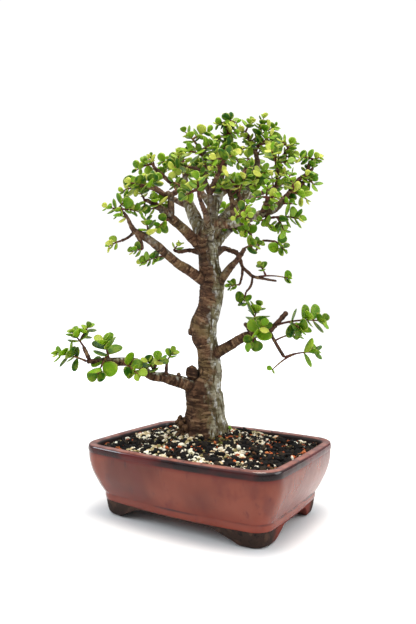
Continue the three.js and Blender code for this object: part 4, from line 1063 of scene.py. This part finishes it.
# Looks are a colour, its strength, and clouds: scale, detail, from and to.
leafLook = {
    "shader": {"Roughness": 0.45, "Specular IOR Level": 0.18, "Subsurface Weight": 0.15,
               "Subsurface Radius": (0.002, 0.003, 0.0008), "Subsurface Scale": 1.0},
    "old": shade(28, 78, 6), "green": (shade(108, 152, 18), 1), "greenTone": (0.0, 0.45),
    "young": (shade(200, 202, 92), 1), "youngTone": (0.42, 0.95),
    "patches": (shade(160, 176, 44), 0.35, 130, 3, 0.4, 0.65),
    "edge": (shade(214, 210, 108), 0.4), "edgeFrom": (0.75, 1.0),
    "root": (shade(150, 66, 40), 1), "rootFrom": (0.12, 0.0, 0, 0.7),
    "pores": {"Scale": 420.0, "Detail": 2.0}, "poreDepth": 0.0002,
}
stalkLook = {
    "shader": {"Roughness": 0.6, "Specular IOR Level": 0.2},
    "tones": (shade(92, 50, 40), shade(54, 30, 28), shade(134, 104, 54)), "grain": (260.0, 0.0003),
}
# Where a leaf is tried for room: along it and across it, as shares.
probePlaces = np.array([(1, 0), (0.95, 0.6), (0.95, -0.6), (0.7, 0.85), (0.7, -0.85), (0.46, 0.95),
                        (0.46, -0.95), (0.25, 0.5), (0.25, -0.5), (0.6, 0)])


class Stem:
    def __init__(self, start, end, radius, owner):
        self.start, self.end = np.array(start), np.array(end)
        self.length = np.linalg.norm(self.end - self.start)
        self.bend = (self.start + self.end) / 2 + (0, 0, stalk["arch"] * self.length)
        self.radius, self.owner = radius, owner

    def point(self, t):
        return (1 - t) ** 2 * self.start + 2 * t * (1 - t) * self.bend + t * t * self.end

    def tangent(self, t):
        return unit((1 - t) * (self.bend - self.start) + t * (self.end - self.bend))

    def wayOut(self, t, angle):
        along = self.tangent(t)
        side = np.cross(stalk["aside"], self.end - self.start)
        side = unit(side - along * np.dot(side, along))
        return side * math.cos(angle) + np.cross(along, side) * math.sin(angle)


def leafAt(stem, share, angle, lift, rise, turned):
    root, along, out = stem.point(share), stem.tangent(share), stem.wayOut(share, angle)
    way = unit(out * math.cos(lift) + along * math.sin(lift) + (0, 0, leaf["upwards"]))
    face = along * math.cos(lift) - out * math.sin(lift) + (0, 0, rise) + nearWay * turned
    face = unit(face - way * np.dot(face, way))
    return root, way, face, np.cross(face, way)


# The leaves placed so far, and the wood and stems they keep clear of.
class Grove:
    def __init__(self, balls):
        self.balls = balls  # place, reach, and how near a leaf of its own may be
        self.rows = np.zeros((leaf["most"], 13))  # root, way, face, across, length
        self.probes = np.zeros((leaf["most"], len(probePlaces), 3))
        self.count = 0
        self.owners, self.tones = [], []

    def isFree(self, new, probes, squeeze):
        root, length = new[0:3], new[12]
        away = np.linalg.norm(self.balls[:, :3] - root, axis=1)
        near = self.balls[(away < length + self.balls[:, 3] + leaf["near"]) & (away >= self.balls[:, 4])]
        gaps = np.linalg.norm(probes[:, None] - near[None, :, :3], axis=2)
        if (gaps <= near[:, 3] * squeeze).any():
            return False
        rows = self.rows[:self.count]
        close = np.linalg.norm(rows[:, :3] - root, axis=1) < rows[:, 12] + length + leaf["apart"]
        if not close.any():
            return True
        return not (inBlades(rows[close], probes[None], squeeze).any()
                    or inBlades(new[None], self.probes[:self.count][close], squeeze).any())

    def add(self, new, probes, owner, tone):
        self.rows[self.count] = new
        self.probes[self.count] = probes
        self.count += 1
        self.owners.append(owner)
        self.tones.append(tone)


def inBlades(blades, points, squeeze):
    middle, halfLength, halfWidth = leaf["room"]
    offset = points - blades[:, None, 0:3]
    length = blades[:, None, 12]
    along = np.einsum("ijk,ik->ij", offset, blades[:, 3:6]) / length
    face = np.einsum("ijk,ik->ij", offset, blades[:, 6:9])
    across = np.einsum("ijk,ik->ij", offset, blades[:, 9:12]) / (length * leaf["width"] / 2)
    inside = ((along - middle) / halfLength) ** 2 + (across / halfWidth) ** 2 < squeeze
    return (np.abs(face) < leaf["apart"] * squeeze) & inside


def addPairs(grove, stem, size, pairs, draw, style):
    firstAngle = math.pi * draw()
    tipSize, perPair, mostSize = leaf["growth"]
    leastSize, sizeChance = leaf["sizeChance"]
    tipLift, liftFall, liftPairs = leaf["liftFall"]
    for pair in range(pairs):
        share = 1 - (leaf["tipGap"] + pair * style["spacing"] * size) / stem.length
        tone = max(0.0, 1 - leaf["toneFall"] * pair) + style.get("young", 0)
        for half in (0, 1):
            length = size * min(tipSize + perPair * pair, mostSize) * (leastSize + sizeChance * draw())
            angle = (firstAngle + (pair + 2 * half) * math.pi / 2
                     + leaf["angleChance"] * (draw() - 0.5))
            lift = (leaf["lift"] * (tipLift - liftFall * min(pair, liftPairs))
                    + leaf["liftChance"] * (draw() - 0.5))
            rise = style["rise"][0] + style["rise"][1] * draw()
            turned = style["turned"][0] + style["turned"][1] * draw()
            for attempt in range(leaf["tries"] if share > leaf["leastShare"] else 0):
                swing = leaf["swing"] * math.ceil(attempt / 2) * (1 if attempt % 2 else -1)
                steeper = lift * (1 - leaf["liftStep"] * attempt)
                root, way, face, across = leafAt(stem, share, angle + swing, steeper, rise, turned)
                probes = (root + np.outer(probePlaces[:, 0] * length, way)
                          + np.outer(probePlaces[:, 1] * length * leaf["width"] / 2, across))
                new = np.concatenate([root, way, face, across, [length]])
                if grove.isFree(new, probes, style["squeeze"]):
                    grove.add(new, probes, stem.owner, tone)
                    break


def pointAlong(points, share):
    place = share * (len(points) - 1)
    first = min(int(place), len(points) - 2)
    return between(placed([p[:3] for p in points[first:first + 2]]), place - first)


def stemsOf(owner, limb, share, size, *tips):
    radius = stalk["radius"] * size / stalk["forLeaf"]
    main = Stem(pointAlong(limbs[limb], share), placed(tips[0]), radius, owner)
    root = main.point(stalk["sidesFrom"])
    return [main] + [Stem(root, placed(tip), radius, owner) for tip in tips[1:]]


def woodBalls():
    rows = []
    for _, points in allLimbs():
        spots = placed([p[:3] for p in points])
        for i in range(len(points) - 1):
            for share in leaf["woodShares"]:
                radius = between((points[i][3], points[i + 1][3]), share)
                rows.append([*between(spots[i:i + 2], share), radius + leaf["woodClear"], 0])
    return rows


def isExtraPlace(end, tip, draw):
    middle = placed(extra["middle"])
    if np.linalg.norm(tip - end) > extra["reach"]:
        return False
    if np.linalg.norm(end - middle) > np.linalg.norm(tip - middle) + extra["past"]:
        return False
    across, near = np.dot(end - trunkFoot, rightWay), np.dot(end - trunkFoot, nearWay)
    edge, share = extra["thinLeft"]
    if across < edge and draw() < share:
        return False
    bare = extra["bareWood"]
    low, high = bare["across"]
    return not (low < across < high and end[2] < bare["below"] and near > bare["near"])


def extraStems(stems):
    draw = drawer(extra["seed"])
    tips = np.array([stem.end for stem in stems])
    made = []
    for points in limbs.values():
        if points[-1][3] > extra["limbTip"]:
            continue
        path = splined(points, extra["step"])
        since = extra["every"] * draw()
        for i in range(2, len(path) - 1):
            since += np.linalg.norm(path[i, :3] - path[i - 1, :3])
            if since < extra["every"] or path[i, 3] > extra["thickest"] or path[i, 2] < extra["above"]:
                continue
            since = 0
            along = unit(path[i + 1, :3] - path[i - 1, :3])
            angle = 2 * math.pi * draw()
            side = unit(np.cross(along, (0.2, 0.3, 1)))
            out = side * math.cos(angle) + np.cross(along, side) * math.sin(angle)
            outward = unit(path[i, :3] - placed(extra["middle"]))
            way = unit(out + along * extra["along"] + (0, 0, extra["up"]) + outward * extra["outward"])
            end = path[i, :3] + way * between(extra["length"], draw())
            nearest = stems[np.linalg.norm(tips - end, axis=1).argmin()]
            if isExtraPlace(end, nearest.end, draw):
                size = between(extra["leaf"], draw())
                stem = Stem(path[i, :3], end, stalk["radius"] * extra["stem"], nearest.owner)
                made.append((stem, size))
    return made


def leafMaterial():
    material, tree, shader = newMaterial("jadeLeaf", leafLook["shader"])
    tone = attribute(tree, "tone")
    green, young = (spread(tree, tone, *leafLook[name]) for name in ("greenTone", "youngTone"))
    edge = spread(tree, attribute(tree, "edge"), *leafLook["edgeFrom"])
    root = spread(tree, attribute(tree, "run"), *leafLook["rootFrom"])
    color = laid(tree, leafLook["old"], leafLook["green"], green)
    color = laid(tree, color, leafLook["young"], young)
    color = laid(tree, color, leafLook["patches"])
    color = laid(tree, color, leafLook["edge"], edge)
    color = laid(tree, color, leafLook["root"], root)
    feed(tree, shader.inputs["Base Color"], color)
    pores = node(tree, "TexNoise", Vector=objectPlace(tree), **leafLook["pores"]).outputs["Fac"]
    bumped(tree, shader, pores, leafLook["poreDepth"])
    return material


def stalkMaterial():
    material, tree, shader = newMaterial("youngStem", stalkLook["shader"])
    feed(tree, shader.inputs["Base Color"],
         speckled(tree, shader, stalkLook["tones"], *stalkLook["grain"]))
    return material


# One leaf in its own measures: along, across and a height in millimetres, ring by ring.
def leafTemplate():
    rings, edges, runs = [], [], []
    for along, half in blade["outline"]:
        plump = math.sqrt(max(0.0, 1 - (2 * along - blade["fattest"]) ** 2))
        plump = plump if along > 0 else blade["rootPlump"]
        for v, up in blade["section"]:
            rounded = (blade["upperShare"] if up > 0 else 1.0) * up * plump
            rings.append((along, v * half, blade["cup"] * (v * v - blade["cupMiddle"]) * half + rounded))
            edges.append(abs(v))
            runs.append(along)
    root, tip, tipHeight = blade["ends"]
    rings += [(root, 0, 0), (tip, 0, tipHeight)]
    faces = []
    rows, sides = len(blade["outline"]), len(blade["section"])
    last = (rows - 1) * sides
    for start in range(0, last, sides):
        for i in range(sides):
            j = (i + 1) % sides
            faces.append((start + i, start + i + sides, start + j + sides, start + j))
    for i in range(sides):
        j = (i + 1) % sides
        faces.append((i, j, rows * sides))
        faces.append((last + j, last + i, rows * sides + 1))
    return np.array(rings), np.array(edges + [0, 1]), np.array(runs + [0, 1]), faces


def growShoots():
    names = list(shoots)
    allStems = [stemsOf(i, *shoots[name]) for i, name in enumerate(names)]
    balls = woodBalls()
    for stem in [stem for stems in allStems for stem in stems]:
        for share in leaf["stemShares"]:
            balls.append([*stem.point(share), stem.radius + stalk["clear"], stalk["ownLeaves"]])
    grove = Grove(np.array(balls))
    firstHigh = names.index(leaf["regions"]["leavesRight"][0])
    for i, (name, stems) in enumerate(zip(names, allStems)):
        draw = drawer(leaf["seedStep"] * (i + 1))
        kind = "front" if name in leaf["frontShoots"] else "low" if i < firstHigh else "crown"
        style = leaf[kind]
        scale, *pairs = leaf["own"].get(name, (1.0, *style["pairs"]))
        for order, stem in enumerate(stems):
            size = shoots[name][2] * scale * style["size"]
            size *= leaf["sideSize"].get(name, 1.0) if order else 1.0
            addPairs(grove, stem, size, pairs[min(order, 1)], draw, style)
    small = Stem(placed(sprout["root"]), placed(sprout["tip"]), sprout["radius"], 0)
    addPairs(grove, small, sprout["leaf"], sprout["pairs"], drawer(sprout["seed"]), leaf["low"])
    onShoots = grove.count
    every = [stem for stems in allStems for stem in stems] + [small]
    draw = drawer(extra["leafSeed"])
    more = extraStems(every)
    for stem, size in more:
        addPairs(grove, stem, size, leaf["fill"]["pairs"], draw, leaf["fill"])
    print("leaves placed:", onShoots, "and", grove.count - onShoots, "more")
    return grove, every + [stem for stem, _ in more]


def makeStalks(stems):
    parts = []
    for order, stem in enumerate(stems):
        shares = np.linspace(0, 1, max(stalk["leastRings"], int(stem.length / stalk["step"])))
        path = np.array([stem.point(t) for t in shares])
        phase = (shares * stem.length / stalk["nodeEvery"] + stalk["nodeShift"] * order) % 1
        nodes = np.exp(-(phase - 0.5) ** 2 / stalk["nodeWidth"])
        least, more = stalk["girth"]
        radii = stem.radius * stalk["grown"] * (1 - stalk["taper"] * shares) * (least + more * nodes)
        radii[-1] *= stalk["tip"]
        parts.append(loft(tubeRings(path, radii, stalk["sides"])))
    verts, faces = joined(parts)
    addPiece("youngStems", verts, faces, stalkMaterial(), "bark")
    print("stems made,", len(faces), "faces")


def leafShape(row, template, shapes):
    root, way, face, across, length = np.split(row, [3, 6, 9, 12])
    length = length[0]
    curl = (shapes() - blade["curlMiddle"]) * blade["curl"] * length
    least, more = blade["fat"]
    fat = blade["thickness"] * (least + more * shapes()) * min(1, length / blade["fatFor"])
    length *= blade["grown"]
    least, more = blade["widthChance"]
    wide = length * blade["halfWidth"] * (least + more * shapes())
    heights = template[:, 2] * fat + curl * template[:, 0] ** 2
    return (root + np.outer(template[:, 0] * length, way) + np.outer(template[:, 1] * wide, across)
            + np.outer(heights, face))


def makeLeaves(grove):
    names = list(shoots)
    starts = [names.index(first) for first, _ in leaf["regions"].values()] + [len(names)]
    template, edges, runs, faces = leafTemplate()
    material = leafMaterial()
    ageShare, power, base = leaf["tone"]
    for order, (region, (_, glow)) in enumerate(leaf["regions"].items()):
        first, end = starts[order:order + 2]
        chosen = [k for k in range(grove.count) if first <= grove.owners[k] < end]
        shapes = drawer(leaf["shapeSeed"])
        parts, tones = [], []
        for k in chosen:
            parts.append((leafShape(grove.rows[k], template, shapes), faces))
            tone = ageShare * grove.tones[k] * shapes() + glow * shapes() ** power + base
            tones.append(np.full(len(template), np.clip(tone, 0, 1)))
        values = {"tone": np.concatenate(tones), "edge": np.tile(edges, len(chosen)),
                  "run": np.tile(runs, len(chosen))}
        addPiece(region, *joined(parts), material, "leaf_green", values,
                 replaces=["shoot_" + name for name in names[first:end]])
        print(region, len(chosen), "leaves")


def makeShoots():
    grove, stems = growShoots()
    makeStalks(stems)
    makeLeaves(grove)


soil = {
    "edgeHeight": 75.4, "mound": 13.6, "spread": 62, "rings": 44, "inset": 11.6, "corner": 17,
    "below": (58, 70),  # the heights of the hidden rings under the surface
    "lumps": ((0.07, 3, 41), (0.3, 1.6, 43)),  # scale, height, seed
    "shader": {"Roughness": 0.95, "Specular IOR Level": 0.1},
    "tones": (shade(36, 28, 20), shade(12, 10, 8), shade(84, 66, 44)), "grain": (200.0, 0.0012),
    "trunkReach": 25, "thinRight": (55, 0.35),  # the pale grit is thinner past this
    "paleField": (51, 0.36, 0.56), "paleShare": (0.12, 0.88),
    "darkField": (53, 0.3, 0.6), "darkShare": (0.3, 0.7), "fieldScale": 0.04,
    "mossFade": (1.35, 42, 0.02),
}
grit = {
    "along": 118, "across": 80, "margin": 1.2, "outlineSteps": (6, 4), "sizePower": 1.8,
    "turn": 6.3, "bumps": (1.3, 1.1), "bumpSeeds": (1, 9999), "stretch": 0.38,
    "lift": (0.55, -0.2, 0.9), "flat": 0.8, "sink": 0.2, "tries": 40,
    "secondTone": (0.25, 0.6), "thirdTone": (0.72, 0.9), "darker": 0.55, "paler": 1.25,
    "specular": 0.15, "scale": 260.0, "relief": 0.0005,
}
# Each kind of grain: how many, between which sizes, how round, its three tones and its seed.
grains = {
    "paleGrit": {"count": 2000, "size": (1.0, 3.2), "rounds": 2, "roughness": 0.85, "seed": 61,
                 "tones": (shade(238, 228, 208), shade(200, 178, 138), shade(136, 126, 80))},
    "blackGrit": {"count": 2500, "size": (1.4, 4.2), "rounds": 1, "roughness": 0.8, "seed": 63,
                  "tones": (shade(24, 21, 20), shade(13, 12, 12), shade(48, 38, 28)), "smooth": False},
    "clayChips": {"count": 380, "size": (1.3, 2.9), "rounds": 2, "roughness": 0.85, "seed": 65,
                  "tones": (shade(186, 92, 50), shade(150, 76, 48), shade(206, 128, 78))},
    "mossAndBark": {"count": 520, "size": (1.2, 3.0), "rounds": 2, "roughness": 0.95, "seed": 67,
                    "tones": (shade(84, 84, 40), shade(96, 66, 44), shade(60, 42, 30)),
                    "sink": 0.3, "flat": 0.65},
}
# A heap of brown crumbs beside the trunk, placed as the limbs are: across, up, near.
clods = {
    "count": 44, "place": (-29, 95, 5), "spread": (4.2, 7.5, 6), "size": (1.6, 4.4), "seed": 69,
    "rounds": 3, "bumps": 0.9, "bumpNoise": (1.1, 3), "bumpSeed": 71, "toneNoise": (1.5, 2, 73),
    "roughness": 0.95, "scale": 240.0,
    "tones": (shade(104, 78, 56), shade(62, 42, 32), shade(92, 88, 46)),
}


def soilSurface(places):
    p = np.column_stack([places[:, 0], places[:, 1], places[:, 0] * 0])
    away = fromTrunk(places[:, 0], places[:, 1])
    height = soil["edgeHeight"] + soil["mound"] * np.exp(-(away / soil["spread"]) ** 2)
    coarse, fine = (swayed(p, scale, 2, seed) * tall for scale, tall, seed in soil["lumps"])
    return height + (coarse + fine)


def isInside(outline, x, y):
    inside = False
    for (xi, yi), (xj, yj) in zip(outline, outline[-1:] + outline[:-1]):
        if (yi > y) != (yj > y) and x < (xj - xi) * (y - yi) / (yj - yi) + xi:
            inside = not inside
    return inside


def grainMaterial(name, look):
    sockets = {"Roughness": look["roughness"], "Specular IOR Level": grit["specular"]}
    material, tree, shader = newMaterial(name, sockets)
    first, second, third = look["tones"]
    tone = attribute(tree, "tone")
    base = mixed(tree, spread(tree, tone, *grit["secondTone"]), first, second)
    base = mixed(tree, spread(tree, tone, *grit["thirdTone"]), base, third)
    dark = tuple(v * grit["darker"] for v in second)
    pale = tuple(min(1, v * grit["paler"]) for v in first)
    color = speckled(tree, shader, (base, dark, pale), look.get("scale", grit["scale"]), grit["relief"])
    feed(tree, shader.inputs["Base Color"], color)
    return material


# Lays grains on the soil, more of them where the share at a place is higher.
def scatter(name, shareAt):
    look = grains[name]
    rng = np.random.default_rng(look["seed"])
    outline = potRing(0, soil["inset"] + grit["margin"], soil["corner"], *grit["outlineSteps"])
    outline = outline[:, :2].tolist()
    ball, faces = ballShape(look["rounds"])
    (bumpScale, bumpSize), (rise, least, most) = grit["bumps"], grit["lift"]
    rise -= look.get("sink", grit["sink"])
    parts, tones = [], []
    tries = 0
    while len(parts) < look["count"] and tries < look["count"] * grit["tries"]:
        tries += 1
        x = rng.uniform(-grit["along"], grit["along"])
        y = rng.uniform(-grit["across"], grit["across"])
        size = between(look["size"], rng.random() ** grit["sizePower"])
        if not isInside(outline, x, y) or rng.random() > shareAt(x, y):
            continue
        if fromTrunk(x, y) < soil["trunkReach"]:
            continue
        angle = rng.uniform(0, grit["turn"])
        turn = Matrix.Rotation(angle, 3, Vector(rng.normal(size=3)).normalized())
        bumps = 1 + bumpSize * (softNoise(ball, bumpScale, int(rng.integers(*grit["bumpSeeds"]))) - 0.5)
        stretch = 1 + rng.uniform(-grit["stretch"], grit["stretch"], 3)
        shape = (ball * bumps[:, None] * stretch * size) @ np.array(turn).T
        shape[:, 2] *= look.get("flat", grit["flat"])
        top = soilSurface(np.array([[x, y]]))[0]
        parts.append((shape + (x, y, top + (size * rise + rng.uniform(least, most))), faces))
        tones.append(np.full(len(ball), rng.random()))
    addPiece(name, *joined(parts), grainMaterial(name, look), "soil_grit",
             {"tone": np.concatenate(tones)}, smooth=look.get("smooth", True))
    print(name, len(parts), "grains")


def makeSoilBed():
    outline = potRing(0, soil["inset"], soil["corner"])
    rings = [outline + (0, 0, height) for height in soil["below"]]
    for i in range(soil["rings"]):
        ring = trunkFoot + (outline - trunkFoot) * (1 - i / soil["rings"])
        ring[:, 2] = soilSurface(ring)
        rings.append(ring)
    material, tree, shader = newMaterial("darkMould", soil["shader"])
    feed(tree, shader.inputs["Base Color"], speckled(tree, shader, soil["tones"], *soil["grain"]))
    addPiece("soilBed", *loft(rings), material, "soil_grit", replaces=("soil",))
    print("soil bed made")


def makeClods():
    ball, faces = ballShape(clods["rounds"])
    rng = np.random.default_rng(clods["seed"])
    parts = []
    for order in range(clods["count"]):
        place = np.array(clods["place"]) + rng.normal(size=3) * clods["spread"]
        radius = rng.uniform(*clods["size"])
        bumps = 1 + clods["bumps"] * swayed(ball, *clods["bumpNoise"], clods["bumpSeed"] + order)
        parts.append((placed(place) + ball * bumps[:, None] * radius, faces))
    tone = np.tile(layeredNoise(ball, *clods["toneNoise"]), len(parts))
    addPiece("clods", *joined(parts), grainMaterial("brownClod", clods), "soil_grit", {"tone": tone})
    print("clods", len(parts), "crumbs")


def makeSoil():
    makeSoilBed()

    def field(name, x, y):  # from 0 to 1 in soft patches
        seed, low, high = soil[name]
        noise = layeredNoise(np.array([[x, y, 0]]), soil["fieldScale"], 2, seed)
        return float(smoothStep(low, high, noise)[0])

    def paleShare(x, y):
        least, more = soil["paleShare"]
        edge, thinned = soil["thinRight"]
        return (least + more * field("paleField", x, y)) * (thinned if x > edge else 1)

    def darkShare(x, y):
        least, more = soil["darkShare"]
        return least + more * field("darkField", x, y)

    def mossShare(x, y):
        most, reach, least = soil["mossFade"]
        return float(np.clip(most - fromTrunk(x, y) / reach, least, 1))

    scatter("paleGrit", paleShare)
    scatter("blackGrit", darkShare)
    scatter("clayChips", lambda x, y: 1)
    scatter("mossAndBark", mossShare)
    makeClods()


camera = {
    "place": (348.0, -558.9, 233.1), "azimuth": 32.08, "elevation": -0.46, "roll": -0.19,
    "focal": 548.4, "frameHeight": 624,  # both in pixels of the frame
    "sensor": 36, "clip": (0.02, 20),
}
room = {
    "floorReach": 6, "floorDrop": -0.0002,  # metres
    "floor": {"Roughness": 0.9, "Base Color": (0.93, 0.93, 0.93), "Specular IOR Level": 0.1,
              "Emission Color": (1, 1, 1)},
    "floorGlow": (0.35, 1.6, 0.0, 0.6),  # from and to this far out, in metres, and how much
    "seen": {"Color": (1, 1, 1), "Strength": 1.05}, "skyColor": (0.93, 0.97, 1),
    "sky": (-0.1, 0.9, 0.14, 1.3),  # from one height to another, from one brightness to another
}
lights = {  # place, what it is turned to, size, power and colour
    "key": ((0.12, -0.1, 1.5), (0, 0, 0.25), 0.7, 18, (1, 0.94, 0.85)),
    "side": ((1.5, 0.5, 0.7), (0, 0, 0.2), 0.9, 8.5, (1, 1, 1)),
    "window": ((-1.3, -0.9, 0.7), (0, 0, 0.15), 0.5, 6, (0.85, 0.92, 1)),
}


def makeCamera():
    a, e = math.radians(camera["azimuth"]), math.radians(camera["elevation"])
    back = Vector((math.sin(a) * math.cos(e), -math.cos(a) * math.cos(e), math.sin(e)))
    roll = Matrix.Rotation(math.radians(camera["roll"]), 3, "Z")
    eye = bpy.data.cameras.new("camera")
    eye.sensor_width = camera["sensor"]
    eye.lens = camera["focal"] / camera["frameHeight"] * eye.sensor_width
    eye.clip_start, eye.clip_end = camera["clip"]
    made = newObject("camera", eye)
    made.location = Vector(inFrame(camera["place"]).tolist())
    made.rotation_euler = ((-back).to_track_quat("-Z", "Y").to_matrix() @ roll).to_euler()
    bpy.context.scene.camera = made


def makeFloor():
    far = room["floorReach"]
    mesh = bpy.data.meshes.new("floor")
    mesh.from_pydata([(-far, -far, 0), (far, -far, 0), (far, far, 0), (-far, far, 0)], [],
                     [(0, 1, 2, 3)])
    floor = newObject("floor", mesh)
    floor.location.z = room["floorDrop"]
    material, tree, shader = newMaterial("paleFloor", room["floor"])
    away = node(tree, "VectorMath", operation="LENGTH", Vector=objectPlace(tree)).outputs["Value"]
    seen = node(tree, "LightPath").outputs["Is Camera Ray"]
    feed(tree, shader.inputs["Emission Strength"],
         times(tree, seen, spread(tree, away, *room["floorGlow"])))
    mesh.materials.append(material)


def makeSky():
    world = bpy.data.worlds.new("softRoom")
    world.use_nodes = True
    tree = world.node_tree
    studio, seen = tree.nodes["Background"], node(tree, "Background", **room["seen"])
    way = node(tree, "SeparateXYZ", Vector=node(tree, "TexCoord").outputs["Generated"])
    feed(tree, studio.inputs["Color"], room["skyColor"])
    feed(tree, studio.inputs["Strength"], spread(tree, way.outputs["Z"], *room["sky"]))
    pick = node(tree, "MixShader")
    sources = (node(tree, "LightPath").outputs["Is Camera Ray"], studio.outputs[0], seen.outputs[0])
    for socket, source in zip(pick.inputs, sources):
        tree.links.new(source, socket)
    tree.links.new(pick.outputs[0], tree.nodes["World Output"].inputs["Surface"])
    bpy.context.scene.world = world


def makeRoom():
    makeFloor()
    makeSky()
    for name, (place, target, size, power, color) in lights.items():
        lamp = bpy.data.lights.new(name, "AREA")
        lamp.shape, lamp.size, lamp.energy, lamp.color = "SQUARE", size, power, color
        made = newObject(name, lamp)
        made.location = place
        made.rotation_euler = (Vector(target) - Vector(place)).to_track_quat("-Z", "Y").to_euler()
    view = bpy.context.scene.view_settings
    view.view_transform, view.look = "Standard", "None"
    print("room made")


makeCamera()
makeRoom()
makePotBody()
makePotFeet()
print("pot made")
makeWood()
makeSoil()
makeShoots()
